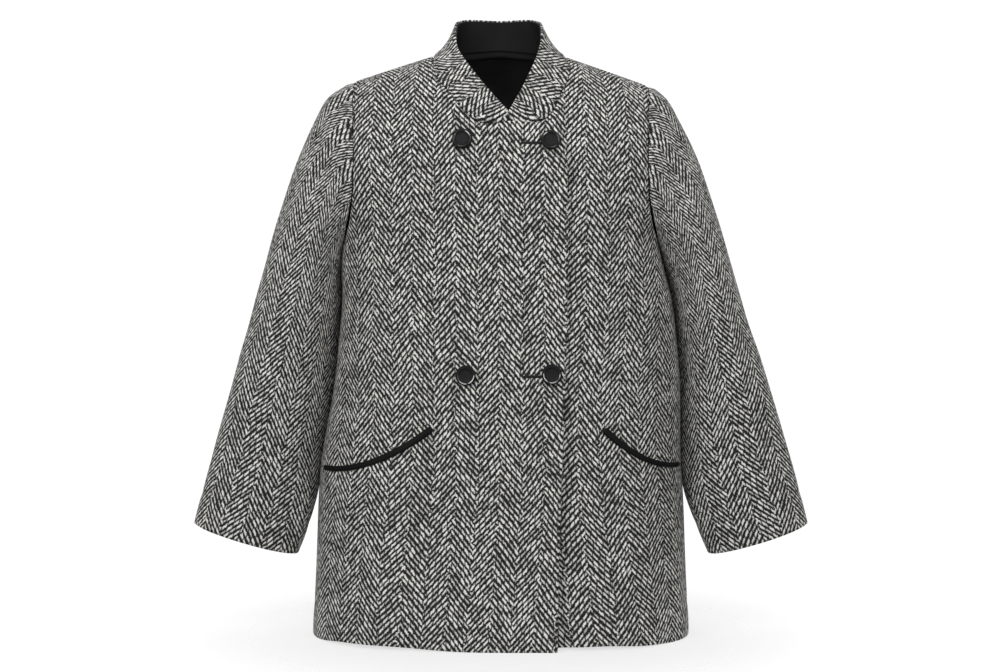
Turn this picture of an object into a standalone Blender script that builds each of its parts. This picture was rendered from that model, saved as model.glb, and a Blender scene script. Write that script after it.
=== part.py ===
"""Short double-breasted coat of herringbone tweed, in the hollow form it has when worn.

Metres, +Z up. The front faces -Y and the wearer's left is +X.
The origin is the middle of the neck at the height of the nape.
"""
import math
from collections import namedtuple

import bpy
import numpy as np
from mathutils import Vector
from mathutils.bvhtree import BVHTree

# Cloth and seams
WALL = 0.003            # tweed with its interlining
LINING = 0.001          # lining cloth
SEAM = 0.0003           # space between two pieces at a seam
LAYER = 0.0009          # space between the two layers of the overlap
SKIN = 0.0005           # space between a lining and the tweed outside it

# Heights and widths of the body
HEM = -0.752
UNDERARM = -0.250
SWAY = 0.009            # of the waist to the wearer's left
SWAY_START = 0.090      # height below the underarm over which it grows
SWAY_FADE = 0.140       # height above SLEEVE_LEAVES over which it goes
FULLNESS = 2.4          # exponent of the body's rounded cross-section
CHEST_SPREAD = 0.062    # extra half width of the form behind the armholes
CHEST_RISE = 0.140      # height over which it is reached
SHOULDER_TOP = 0.0236   # height where the two shoulder lines would meet
SHOULDER_SLOPE = 0.341
SHOULDER_TILT = 0.014   # the wearer's left shoulder hangs lower by this share of x
SHOULDER_ROUND = 0.030
SHOULDER_TIP = 0.190    # half width where the sleeve is set in
FRONT_DROP = 0.200      # height over which the front rounds up to the shoulder line
BACK_DROP = 0.140

# Neck
NECK_HALF = 0.0865      # half width at the shoulder line
NAPE_DROP = 0.0157      # how far the back neckline dips below the shoulder lines
NECK_LEAN = 0.15        # sideways shift of the neck for each metre down
NECK_SHIFT = -0.003

# Closing of the fronts
CLOSING = 0.009         # the fronts close this far to the wearer's left
OVERLAP = 0.073         # closing line to free edge at the chest
OVERLAP_HEM = 0.060
TOP_EDGE = 0.045        # straight part of the free top edge
TOP_DIP = 0.003
UNDER_DIP = 0.010       # the hidden top edge lies lower
CORNER_WIDTH = 0.028
CORNER_HEIGHT = 0.050
UNDER_START = 0.086     # the under layer is pressed in up to here
UNDER_END = 0.125       # and is back on the form here
UNDER_TOP = -0.040      # height where the pressing begins
UNDER_FULL = -0.080     # and where it is complete

# Sleeves
SLEEVE_CLEAR = 0.0028   # between the sleeve and the side of the body
CAP_SHARE = 0.45        # share of the sleeve over which the armhole's shape fades
SLEEVE_LEAN = 0.004     # both upper sleeves hang this far to the wearer's right
LEAN_START = 0.10       # share of the sleeve where the lean is complete
LEAN_FADE = 0.40        # share where it begins to fade
LEAN_END = 0.80         # and where it is gone
CUFF_SWING = 0.0028     # both cuffs' inner lines lie this far to the wearer's left
INNER_BACK = 0.028      # the inner line lies this far behind the middle of the sleeve
BACK_START = 0.20       # share of the sleeve where it does so fully
BACK_FADE = 0.30        # share before the cuff over which it comes forward again
RING_SPREAD = 1.25      # exponent that brings the rings closer together at the armhole

# Inside of the neck
LINING_ROW = 4          # armhole row at the foot of the back lining
FACING_FOOT = 0.1       # share of the collar's lowest row left free below the facing

# Pocket piping
PIPING_RISE = 0.0030
PIPING_CLEAR = 0.0006
PIPING_POWER = 1.9      # the pocket mouth's curve
PIPING_STEPS = 26
RAY_START = -1.0        # depth in front of the coat from which points on a panel are found

# Buttons
BUTTON_SIDES = 18

# Numbers of facets
SHOULDER_COLUMNS = 5
NECK_COLUMNS = 9
FINE_STEPS = 400        # points used to measure the neckline's length
EDGE_COLUMNS = 3
CORNER_COLUMNS = 4
BACK_NECK_COLUMNS = 10
BODY_ROWS = 11
ARMHOLE_ROWS = 11
SLEEVE_RINGS = 17
COLLAR_ROWS = 4
SHARP_ANGLE = 40        # edges turning by more degrees than this are shaded sharp

Section = namedtuple("Section", "height half_width front back")
BODY = (
    Section(-0.7600, 0.2450, 0.150, 0.142),
    Section(-0.6600, 0.2400, 0.145, 0.137),
    Section(-0.5640, 0.2360, 0.140, 0.132),
    Section(-0.4450, 0.2255, 0.134, 0.126),
    Section(-0.3200, 0.2135, 0.128, 0.121),
    Section(-0.2500, 0.2060, 0.125, 0.118),
    Section(-0.1400, 0.1950, 0.123, 0.118),
    Section(0.0300, 0.1780, 0.122, 0.117),
)

Armhole = namedtuple("Armhole", "height half_width")
ARMHOLE = (
    Armhole(-0.250, 0.2060),
    Armhole(-0.235, 0.1985),
    Armhole(-0.205, 0.1900),
    Armhole(-0.160, 0.1860),
    Armhole(-0.110, 0.1865),
    Armhole(-0.070, 0.1885),
    Armhole(-0.039, 0.1900),
)

Neckline = namedtuple("Neckline", "half_width height")
FRONT_NECK = (
    Neckline(0.0030, -0.0960),
    Neckline(0.0340, -0.0980),
    Neckline(0.0545, -0.0845),
    Neckline(0.0700, -0.0595),
    Neckline(0.0855, -0.0340),
)

# Free edge of the collar: share 0 is the front end, 1 the shoulder, 2 the nape.
# The bulge is how far the band rounds out between its seam and its edge, or in.
CollarEdge = namedtuple("CollarEdge", "share half_width height depth bulge")
COLLAR_EDGE = (
    CollarEdge(0.00, 0.0005, -0.0850, -0.1085, 0.0000),
    CollarEdge(0.16, 0.0100, -0.0710, -0.0990, 0.0010),
    CollarEdge(0.30, 0.0240, -0.0510, -0.0860, 0.0020),
    CollarEdge(0.46, 0.0390, -0.0265, -0.0660, 0.0010),
    CollarEdge(0.66, 0.0515, -0.0030, -0.0400, -0.0010),
    CollarEdge(1.00, 0.0570, 0.0275, -0.0080, -0.0025),
    CollarEdge(1.50, 0.0475, 0.0425, 0.0330, -0.0010),
    CollarEdge(2.00, 0.0000, 0.0433, 0.0500, 0.0010),
)

# Sleeve rings: the outer and the inner end of each, and half its depth
Ring = namedtuple("Ring", "share outer_x outer_z inner_z half_depth centre_y")
SLEEVE = (
    Ring(0.00, 0.1900, -0.0397, -0.2500, 0.085, 0.000),
    Ring(0.04, 0.2050, -0.0480, -0.2580, 0.084, 0.000),
    Ring(0.08, 0.2185, -0.0590, -0.2680, 0.083, 0.000),
    Ring(0.14, 0.2347, -0.0871, -0.2850, 0.082, -0.001),
    Ring(0.22, 0.2568, -0.1350, -0.3120, 0.081, -0.002),
    Ring(0.34, 0.2825, -0.2100, -0.3550, 0.078, -0.004),
    Ring(0.50, 0.3116, -0.3100, -0.4200, 0.072, -0.008),
    Ring(0.67, 0.3415, -0.4100, -0.4950, 0.064, -0.014),
    Ring(0.84, 0.3710, -0.5120, -0.5715, 0.056, -0.021),
    Ring(1.00, 0.3955, -0.6060, -0.6460, 0.048, -0.029),
)

# Inner line of the sleeve where it has left the body
SleeveInner = namedtuple("SleeveInner", "height half_width")
SLEEVE_INNER = (
    SleeveInner(-0.651, 0.2665),
    SleeveInner(-0.594, 0.2450),
    SleeveInner(-0.573, 0.2395),
    SleeveInner(-0.556, 0.2368),
    SleeveInner(-0.545, 0.2360),
)
SLEEVE_LEAVES = -0.545  # height where the sleeve's inner line leaves the body

# Soft upright folds of the skirt: place, half width, height of the top, rise at the hem
Fold = namedtuple("Fold", "x width top rise")
FRONT_FOLDS = (
    Fold(-0.170, 0.026, -0.38, 0.0040),
    Fold(-0.105, 0.030, -0.45, -0.0030),
    Fold(0.125, 0.024, -0.42, -0.0030),
    Fold(0.180, 0.024, -0.36, 0.0040),
)
BACK_FOLDS = (
    Fold(-0.165, 0.028, -0.34, 0.0045),
    Fold(-0.085, 0.034, -0.28, -0.0040),
    Fold(0.010, 0.040, -0.33, 0.0045),
    Fold(0.095, 0.030, -0.30, -0.0040),
    Fold(0.165, 0.026, -0.36, 0.0040),
)

# The fronts' hems rise a little beside the closing: side, place, half width, rise
Lift = namedtuple("Lift", "side x width rise")
HEM_LIFTS = (
    Lift(-1, -0.160, 0.085, 0.0050),
    Lift(1, 0.120, 0.075, 0.0050),
)
LIFT_FADE = 0.040       # distance from the side seam over which the lift grows

# Soft folds across the sleeves: share along, angle from the outer line by the front, spans, rise
Crease = namedtuple("Crease", "share angle along across slant rise")
SLEEVE_CREASES = (
    Crease(0.20, 120, 0.030, 40, 0.0010, -0.0030),
    Crease(0.42, 135, 0.035, 50, 0.0008, -0.0035),
    Crease(0.52, 150, 0.035, 55, -0.0006, -0.0040),
    Crease(0.60, 60, 0.050, 50, 0.0005, -0.0025),
    Crease(0.48, 250, 0.040, 50, 0.0006, -0.0035),
    Crease(0.72, 210, 0.045, 45, -0.0008, -0.0030),
)

# Pocket mouths: side -1 is the wearer's right
Pocket = namedtuple("Pocket", "name side side_x side_z front_x front_z side_width front_width")
POCKETS = (
    Pocket("right_pocket_piping", -1, 0.2255, -0.5340, 0.0850, -0.4770, 0.0065, 0.0090),
    Pocket("left_pocket_piping", 1, 0.2270, -0.5300, 0.1280, -0.4790, 0.0060, 0.0090),
)

# Half-round section of the piping: shares of half its width and of its rise
Profile = namedtuple("Profile", "across up")
PIPING_PROFILE = (
    Profile(-1.00, 0.0),
    Profile(-1.00, 0.4),
    Profile(-0.55, 0.9),
    Profile(0.00, 1.0),
    Profile(0.55, 0.9),
    Profile(1.00, 0.4),
    Profile(1.00, 0.0),
    Profile(0.00, 0.0),
)

Button = namedtuple("Button", "name x z")
BUTTONS = (
    Button("button_upper_right", -0.0475, -0.1192),
    Button("button_upper_left", 0.0612, -0.1207),
    Button("button_lower_right", -0.0431, -0.4111),
    Button("button_lower_left", 0.0629, -0.4098),
)

# Turned outline of a button, from the shank's foot to the middle of the dish
Turn = namedtuple("Turn", "radius height")
BUTTON_OUTLINE = (
    Turn(0.0040, 0.0000),
    Turn(0.0040, 0.0024),
    Turn(0.0112, 0.0028),
    Turn(0.0125, 0.0040),
    Turn(0.0124, 0.0056),
    Turn(0.0113, 0.0065),
    Turn(0.0100, 0.0060),
    Turn(0.0090, 0.0046),
)
BUTTON_DISH = 0.0042

TWEED = ("tweed", (0.155, 0.150, 0.140), 0.95)
BLACK_LINING = ("lining", (0.012, 0.012, 0.013), 0.75)
BLACK_PIPING = ("piping", (0.010, 0.010, 0.011), 0.45)
BLACK_BUTTON = ("button", (0.010, 0.010, 0.011), 0.25)


def read(table, column, at):
    """Smooth value of a table's column at places along its first column."""
    rows = np.array(table)
    keys = rows[:, 0]
    values = rows[:, table[0]._fields.index(column)]
    slopes = np.gradient(values, keys)
    at = np.clip(at, keys[0], keys[-1])
    i = np.clip(np.searchsorted(keys, at) - 1, 0, len(keys) - 2)
    span = keys[i + 1] - keys[i]
    t = (at - keys[i]) / span
    ease = t * t * (3 - 2 * t)
    start = t * (1 - t) ** 2 * span * slopes[i]
    end = t * t * (t - 1) * span * slopes[i + 1]
    return values[i] * (1 - ease) + values[i + 1] * ease + start + end


def smooth(value):
    """Zero below 0, one above 1, and a soft step between."""
    value = np.clip(value, 0, 1)
    return value * value * (3 - 2 * value)


def signed_power(value, power):
    return np.sign(value) * np.abs(value) ** power


# Form of the body

def ridge(x):
    """Height of the shoulder line."""
    slope = SHOULDER_SLOPE * np.sqrt(x * x + SHOULDER_ROUND ** 2)
    return SHOULDER_TOP - slope - SHOULDER_TILT * x


def half_width(x, z):
    """Half width of the body on the side of x; the waist hangs a little to the wearer's left."""
    spread = CHEST_SPREAD * smooth((z - UNDERARM) / CHEST_RISE)
    sway = SWAY * smooth((UNDERARM - z) / SWAY_START) * smooth((z - SLEEVE_LEAVES) / SWAY_FADE)
    return read(BODY, "half_width", z) + spread + np.sign(x) * sway


def fold_rise(folds, x, z):
    """Sum of the upright folds, each growing from its top to the hem."""
    total = np.zeros(np.broadcast(x, z).shape)
    for fold in folds:
        growth = smooth((fold.top - z) / (fold.top - HEM))
        total = total + fold.rise * growth * np.exp(-((x - fold.x) / fold.width) ** 2)
    return total


def depth(x, z, column, drop, folds):
    """Distance of the cloth from the plane of the side and shoulder seams."""
    across = np.clip(np.abs(x) / half_width(x, z), 0, 1)
    section = (1 - across ** FULLNESS) ** (1 / FULLNESS)
    below = np.clip((ridge(x) - z) / drop, 0, 1)
    rounding = np.sqrt(1 - (1 - below) ** 2)
    body = read(BODY, column, z) * section * rounding
    return SEAM / 2 + body + section * fold_rise(folds, x, z)


def front_y(x, z):
    return -depth(x, z, "front", FRONT_DROP, FRONT_FOLDS)


def back_y(x, z):
    return depth(x, z, "back", BACK_DROP, BACK_FOLDS)


def neck_middle(z):
    return NECK_SHIFT - NECK_LEAN * np.minimum(z, 0)


def under_press(x, z):
    """How far the under layer of the overlap lies inside the form."""
    across = 1 - smooth((x - UNDER_START) / (UNDER_END - UNDER_START))
    return (WALL + LAYER) * across * smooth((UNDER_TOP - z) / (UNDER_TOP - UNDER_FULL))


# Meshes

def normals(grid, wrap):
    """Outward directions of a grid of points, wrapped round along its first axis or open."""
    if wrap:
        around = (np.roll(grid, -1, axis=0) - np.roll(grid, 1, axis=0)) / 2
    else:
        around = np.gradient(grid, axis=0)
    along = np.gradient(grid, axis=1)
    out = np.cross(around, along)
    return out / np.linalg.norm(out, axis=2, keepdims=True)


def material(look):
    name, colour, roughness = look
    made = bpy.data.materials.get(name)
    if made is None:
        made = bpy.data.materials.new(name)
        made.use_nodes = True
        shader = made.node_tree.nodes["Principled BSDF"]
        shader.inputs["Base Color"].default_value = (*colour, 1)
        shader.inputs["Roughness"].default_value = roughness
        shader.inputs["Metallic"].default_value = 0
        made.diffuse_color = (*colour, 1)
    return made


def add_object(name, points, faces, look):
    mesh = bpy.data.meshes.new(name)
    mesh.from_pydata([tuple(p) for p in points], [], faces)
    mesh.materials.append(material(look))
    mesh.shade_smooth()
    mesh.set_sharp_from_angle(angle=math.radians(SHARP_ANGLE))
    made = bpy.data.objects.new(name, mesh)
    bpy.context.scene.collection.objects.link(made)
    return made


def split(quads):
    """Two triangles for each four-cornered face."""
    return [t for a, b, c, d in quads for t in ((a, b, c), (a, c, d))]


def shell(name, outer, inner, look, wrap=False):
    """Closed wall between two grids; wrap joins the last column to the first."""
    columns, rows = outer.shape[:2]
    count = columns * rows
    number = np.arange(count).reshape(columns, rows)
    steps = columns if wrap else columns - 1
    quads = []
    for i in range(steps):
        k = (i + 1) % columns
        for j in range(rows - 1):
            quads.append((number[i, j], number[k, j], number[k, j + 1], number[i, j + 1]))
    back = [(a + count, d + count, c + count, b + count) for a, b, c, d in quads]
    rim = []
    for i in range(steps):
        k = (i + 1) % columns
        a, b = number[i, 0], number[k, 0]
        rim.append((b, a, a + count, b + count))
        a, b = number[i, -1], number[k, -1]
        rim.append((a, b, b + count, a + count))
    if not wrap:
        for j in range(rows - 1):
            a, b = number[0, j], number[0, j + 1]
            rim.append((a, b, b + count, a + count))
            a, b = number[-1, j], number[-1, j + 1]
            rim.append((b, a, a + count, b + count))
    points = np.concatenate([outer.reshape(-1, 3), inner.reshape(-1, 3)])
    faces = [tuple(int(v) for v in f) for f in split(quads + back + rim)]
    return add_object(name, points, faces, look)


# Outlines shared by neighbouring pieces

def armhole_shares():
    """Row places up the armhole, close together at the underarm and at the shoulder."""
    return (1 - np.cos(np.pi * np.arange(ARMHOLE_ROWS + 1) / ARMHOLE_ROWS)) / 2


def armhole_edge():
    """Half widths of the armhole at its rows."""
    top = ARMHOLE[-1].height
    return read(ARMHOLE, "half_width", UNDERARM + (top - UNDERARM) * armhole_shares())


def front_neckline(side):
    """Seam of the collar on one front, from the closing line to the shoulder: x and z."""
    shoulder = neck_middle(ridge(NECK_HALF)) + side * NECK_HALF
    x = [neck_middle(row.height) + side * row.half_width for row in FRONT_NECK] + [shoulder]
    z = [row.height for row in FRONT_NECK] + [ridge(shoulder)]
    length = np.concatenate([[0], np.cumsum(np.hypot(np.diff(x), np.diff(z)))])
    Point = namedtuple("Point", "length x z")
    table = [Point(*row) for row in zip(length, x, z)]
    at = np.linspace(0, length[-1], FINE_STEPS)
    x = read(table, "x", at)
    z = read(table, "z", at)
    steps = np.sqrt(np.diff(x) ** 2 + np.diff(front_y(x, z)) ** 2 + np.diff(z) ** 2)
    run = np.concatenate([[0], np.cumsum(steps)])
    even = np.linspace(0, run[-1], NECK_COLUMNS + 1)
    return np.interp(even, run, x), np.interp(even, run, z)


def back_neckline():
    """Seam of the collar on the back, from the wearer's right to the left: x and z."""
    angle = np.linspace(np.pi, 0, BACK_NECK_COLUMNS + 1)
    x = neck_middle(ridge(NECK_HALF)) + NECK_HALF * np.cos(angle)
    return x, ridge(x) - NAPE_DROP * np.sin(angle) ** 2


def body_rows(side_angles, top_x, top_z, edge_x, reach):
    """Grid of x and z for a panel from its hem to its top outline.

    side_angles are the columns' places round the rounded section, edge_x gives the panel's
    own limits, and reach fades the armhole's shape across the columns.
    """
    low = np.linspace(HEM, UNDERARM, BODY_ROWS + 1)
    share = armhole_shares()[1:]
    x_low = np.stack([edge_x(side_angles, z) for z in low], axis=1)
    z_low = np.broadcast_to(low, x_low.shape)
    start = x_low[:, -1:]
    x_high = start + (top_x[:, None] - start) * share
    z_high = UNDERARM + (top_z[:, None] - UNDERARM) * share
    for weight, column in reach:
        arm = np.sign(top_x[column]) * armhole_edge()[1:]
        x_high = x_high + weight[:, None] * (arm - x_high[column])
    return np.concatenate([x_low, x_high], axis=1), np.concatenate([z_low, z_high], axis=1)


def flatten_seams(out, side_columns, shoulder_columns):
    """Turns the walls' rims square to the plane of the side and shoulder seams."""
    for column in side_columns:
        out[column, :BODY_ROWS + 1, 1] = 0
    for column in shoulder_columns:
        out[column, -1, 1] = 0
    return out / np.linalg.norm(out, axis=2, keepdims=True)


# Fronts

def free_edge(side, z):
    """Distance of a front's free edge from the middle, counted towards its own side."""
    overlap = OVERLAP + (OVERLAP_HEM - OVERLAP) * smooth((UNDERARM - z) / (UNDERARM - HEM))
    return side * CLOSING - overlap


def front_top(side):
    """Top outline of a front from the sleeve to the free edge, counted towards its side."""
    neck_x, neck_z = front_neckline(side)
    shoulder = np.linspace(side * SHOULDER_TIP, neck_x[-1], SHOULDER_COLUMNS + 1)[:-1]
    neck_a = side * neck_x[::-1]
    neck_b = neck_z[::-1]
    share = np.arange(1, EDGE_COLUMNS + 1) / EDGE_COLUMNS
    dip = TOP_DIP if side < 0 else UNDER_DIP
    straight_a = neck_a[-1] + (side * CLOSING - TOP_EDGE - neck_a[-1]) * share
    straight_b = neck_b[-1] - dip * smooth(share)
    turn = np.arange(1, CORNER_COLUMNS + 1) / CORNER_COLUMNS * np.pi / 2
    corner_a = straight_a[-1] - CORNER_WIDTH * np.sin(turn)
    corner_b = straight_b[-1] - CORNER_HEIGHT * (1 - np.cos(turn))
    a = np.concatenate([side * shoulder, neck_a, straight_a, corner_a])
    z = np.concatenate([ridge(shoulder), neck_b, straight_b, corner_b])
    return a, z


def hem_lift(side, x, z):
    """Rise of a front's rows above their level: full at the hem, none at the underarm."""
    total = np.zeros(x.shape)
    for lift in HEM_LIFTS:
        if lift.side == side:
            total = total + lift.rise * np.exp(-((x - lift.x) / lift.width) ** 2)
    low = np.clip((UNDERARM - z) / (UNDERARM - HEM), 0, 1)
    return total * low * smooth((half_width(x, z) - np.abs(x)) / LIFT_FADE)


def front_grid(side):
    top_a, top_z = front_top(side)
    columns = len(top_a)
    share = np.linspace(0, 1, columns)

    def edge_a(place, z):
        width = half_width(side, z)
        last = np.arccos(signed_power(free_edge(side, z) / width, FULLNESS / 2))
        return width * signed_power(np.cos(place * last), 2 / FULLNESS)

    a, z = body_rows(share, top_a, top_z, edge_a, [((1 - share) ** 2, 0)])
    x = side * a
    z = z + hem_lift(side, x, z)
    y = front_y(x, z)
    if side > 0:
        y = y + under_press(x, z)
    grid = np.stack([x, y, z], axis=2)
    return grid[::-1] if side > 0 else grid


def make_front(name, side):
    grid = front_grid(side)
    columns = grid.shape[0]
    out = normals(grid, wrap=False)
    shoulder = range(SHOULDER_COLUMNS + 1)
    if side > 0:
        out = flatten_seams(out, [columns - 1], [columns - 1 - i for i in shoulder])
    else:
        out = flatten_seams(out, [0], shoulder)
    return shell(name, grid, grid - WALL * out, TWEED)


# Back

def back_grid():
    neck_x, neck_z = back_neckline()
    right = np.linspace(-SHOULDER_TIP, neck_x[0], SHOULDER_COLUMNS + 1)[:-1]
    left = np.linspace(neck_x[-1], SHOULDER_TIP, SHOULDER_COLUMNS + 1)[1:]
    top_x = np.concatenate([right, neck_x, left])
    top_z = np.concatenate([ridge(right), neck_z, ridge(left)])
    columns = len(top_x)
    share = np.linspace(0, 1, columns)

    def edge_x(place, z):
        across = -np.cos(np.pi * place)
        return half_width(across, z) * signed_power(across, 2 / FULLNESS)

    reach = [(np.clip(1 - 2 * share, 0, 1) ** 2, 0), (np.clip(2 * share - 1, 0, 1) ** 2, columns - 1)]
    x, z = body_rows(share, top_x, top_z, edge_x, reach)
    return np.stack([x, back_y(x, z), z], axis=2)[::-1]


def back_walls():
    """Outer points of the back and the directions of its wall."""
    grid = back_grid()
    columns = grid.shape[0]
    shoulder = range(SHOULDER_COLUMNS + 1)
    both = [*shoulder, *(columns - 1 - i for i in shoulder)]
    return grid, flatten_seams(normals(grid, wrap=False), [0, columns - 1], both)


def make_back():
    grid, out = back_walls()
    return shell("back", grid, grid - WALL * out, TWEED)


def make_lining():
    """Lining on the inside of the back, under the collar."""
    grid, out = back_walls()
    columns = slice(SHOULDER_COLUMNS + 1, SHOULDER_COLUMNS + BACK_NECK_COLUMNS)
    rows = slice(BODY_ROWS + LINING_ROW, None)
    outer = (grid - (WALL + SKIN) * out)[columns, rows]
    inner = (grid - (WALL + SKIN + LINING) * out)[columns, rows]
    return shell("back_lining", outer, inner, BLACK_LINING)


# Sleeves

def armhole_loop(side):
    """Edge of an armhole from the shoulder down the front and up the back, moved off the seam.

    It is counted towards its own side.
    """
    edge = armhole_edge()
    heights = UNDERARM + (ridge(side * SHOULDER_TIP) - UNDERARM) * armhole_shares()
    front = np.stack([edge, front_y(side * edge, heights), heights], axis=1)[::-1]
    back = np.stack([edge, back_y(side * edge, heights), heights], axis=1)
    loop = np.concatenate([front, back[1:-1]])
    loop[[0, ARMHOLE_ROWS], 1] = 0
    loop[:, 0] += SKIN
    return loop


def inner_line(side, z):
    """Half width of the sleeve's inner line: beside the body, then away from it."""
    beside = half_width(side, np.minimum(z, UNDERARM)) + SLEEVE_CLEAR
    away = read(SLEEVE_INNER, "half_width", z)
    return np.where(z > SLEEVE_LEAVES, beside, np.maximum(away, beside))


def sleeve_grid(side):
    """Rings from the armhole to the cuff, counted towards the sleeve's own side."""
    share = (np.arange(SLEEVE_RINGS + 1) / SLEEVE_RINGS) ** RING_SPREAD
    lean = smooth(share / LEAN_START) * smooth((LEAN_END - share) / (LEAN_END - LEAN_FADE))
    outer_x = read(SLEEVE, "outer_x", share) - side * SLEEVE_LEAN * lean
    outer_z = read(SLEEVE, "outer_z", share)
    inner_z = read(SLEEVE, "inner_z", share)
    inner_x = inner_line(side, inner_z) + side * CUFF_SWING * smooth((share - LEAN_END) / (1 - LEAN_END))
    angle = np.pi * np.arange(2 * ARMHOLE_ROWS) / ARMHOLE_ROWS
    reach = np.cos(angle)[:, None]
    x = (outer_x + inner_x) / 2 + (outer_x - inner_x) / 2 * reach
    z = (outer_z + inner_z) / 2 + (outer_z - inner_z) / 2 * reach
    y = read(SLEEVE, "centre_y", share) - read(SLEEVE, "half_depth", share) * np.sin(angle)[:, None]
    back = INNER_BACK * smooth(share / BACK_START) * smooth((1 - share) / BACK_FADE)
    y = y + back * ((1 - reach) / 2) ** 2
    grid = np.stack([x, y, z], axis=2)
    fade = np.clip(1 - share / CAP_SHARE, 0, 1) ** 2
    grid = grid + fade[None, :, None] * (armhole_loop(side) - grid[:, 0])[:, None, :]
    turn = np.degrees(angle)[:, None]
    rise = np.zeros(grid.shape[:2])
    for crease in SLEEVE_CREASES:
        away = (turn - crease.angle + 180) % 360 - 180
        line = share - crease.share - crease.slant * away
        bump = np.exp(-(line / crease.along) ** 2 - (away / crease.across) ** 2)
        rise = rise + crease.rise * bump
    return grid + rise[:, :, None] * normals(grid, wrap=True)


def make_sleeve(name, side):
    grid = sleeve_grid(side)
    if side < 0:
        grid = grid[::-1] * np.array([-1, 1, 1])
    out = normals(grid, wrap=True)
    return shell(name, grid, grid - WALL * out, TWEED, wrap=True)


# Collar and its facing

def collar_ends():
    """Seam and free edge of the collar, from the wearer's left end to the right end."""
    seam = []
    edge = []
    for side in (-1, 1):
        x, z = front_neckline(side)
        y = front_y(x, z)
        share = np.linspace(0, 1, NECK_COLUMNS + 1)
        edge_z = read(COLLAR_EDGE, "height", share)
        edge_x = neck_middle(edge_z) + side * read(COLLAR_EDGE, "half_width", share)
        edge_y = read(COLLAR_EDGE, "depth", share)
        if side > 0:
            y = y + under_press(x, z)
            edge_y = edge_y + under_press(edge_x, edge_z)
        seam.append(np.stack([x, y, z], axis=1))
        edge.append(np.stack([edge_x, edge_y, edge_z], axis=1))
    x, z = back_neckline()
    share = 2 - np.abs(np.linspace(-1, 1, BACK_NECK_COLUMNS + 1))
    turned = np.sign(np.linspace(-1, 1, BACK_NECK_COLUMNS + 1))
    edge_z = read(COLLAR_EDGE, "height", share)
    edge_x = neck_middle(edge_z) + turned * read(COLLAR_EDGE, "half_width", share)
    seam_back = np.stack([x, back_y(x, z), z], axis=1)[1:-1]
    edge_back = np.stack([edge_x, read(COLLAR_EDGE, "depth", share), edge_z], axis=1)[1:-1]
    seam = np.concatenate([seam[0], seam_back, seam[1][::-1]])
    edge = np.concatenate([edge[0], edge_back, edge[1][::-1]])
    seam[:, 2] += SKIN
    return seam[::-1], edge[::-1]


def collar_grid():
    """Band from the seam to the free edge, slightly rounded."""
    seam, edge = collar_ends()
    share = np.linspace(0, 1, COLLAR_ROWS + 1)[None, :, None]
    flat = seam[:, None] + (edge - seam)[:, None] * share
    front = np.linspace(0, 1, NECK_COLUMNS + 1)
    back = 2 - np.abs(np.linspace(-1, 1, BACK_NECK_COLUMNS + 1))
    stations = np.concatenate([front, back[1:-1], front[::-1]])
    bulge = read(COLLAR_EDGE, "bulge", stations)[:, None, None] * 4 * share * (1 - share)
    return flat + bulge * normals(flat, wrap=False)


def collar_walls():
    """Outer points of the collar and the directions of its wall, level along the seam."""
    grid = collar_grid()
    out = normals(grid, wrap=False)
    out[:, 0, 2] = 0
    return grid, out / np.linalg.norm(out, axis=2, keepdims=True)


def make_collar():
    grid, out = collar_walls()
    return shell("collar", grid, grid - WALL * out, TWEED)


def make_facing():
    """Facing on the inside of the collar, ending just above the seam and before the ends."""
    grid, out = collar_walls()
    outer = (grid - (WALL + SKIN) * out)[1:-1]
    inner = (grid - (WALL + SKIN + LINING) * out)[1:-1]
    for face in (outer, inner):
        face[:, 0] += FACING_FOOT * (face[:, 1] - face[:, 0])
    return shell("collar_facing", outer, inner, BLACK_LINING)


# Pieces that lie on the fronts

def surface_of(made):
    """Search tree over a panel's own facets."""
    mesh = made.data
    points = [v.co.copy() for v in mesh.vertices]
    return BVHTree.FromPolygons(points, [tuple(p.vertices) for p in mesh.polygons])


def on_panel(tree, x, z):
    """Point of a front panel at x and z, and the direction out of it."""
    point, out, _, _ = tree.ray_cast(Vector((x, RAY_START, z)), Vector((0, 1, 0)))
    return np.array(point), np.array(out)


def make_piping(pocket, tree):
    """Half-round piping along the pocket's mouth, its foot on the panel's facets."""
    share = np.linspace(0, 1, PIPING_STEPS + 1)
    a = pocket.side_x + (pocket.front_x - pocket.side_x) * share
    z = pocket.side_z + (pocket.front_z - pocket.side_z) * share ** PIPING_POWER
    width = pocket.side_width + (pocket.front_width - pocket.side_width) * share
    slope = np.stack([np.gradient(a), np.gradient(z)], axis=1)
    slope /= np.linalg.norm(slope, axis=1, keepdims=True)
    rings = []
    for i in range(PIPING_STEPS + 1):
        _, out = on_panel(tree, pocket.side * a[i], z[i])
        ring = []
        for corner in PIPING_PROFILE:
            shift = corner.across * width[i] / 2
            at = (a[i] + shift * slope[i, 1], z[i] - shift * slope[i, 0])
            point, _ = on_panel(tree, pocket.side * at[0], at[1])
            ring.append(point + out * (PIPING_CLEAR + PIPING_RISE * corner.up))
        rings.append(ring)
    points = np.array(rings).reshape(-1, 3)
    count = len(PIPING_PROFILE)
    quads = []
    for i in range(PIPING_STEPS):
        for j in range(count):
            k = (j + 1) % count
            quads.append((i * count + j, i * count + k, (i + 1) * count + k, (i + 1) * count + j))
    last = PIPING_STEPS * count
    faces = split(quads)
    faces += [(0, j + 1, j) for j in range(1, count - 1)]
    faces += [(last, last + j, last + j + 1) for j in range(1, count - 1)]
    if pocket.side < 0:
        faces = [face[::-1] for face in faces]
    return add_object(pocket.name, points, faces, BLACK_PIPING)


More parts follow.
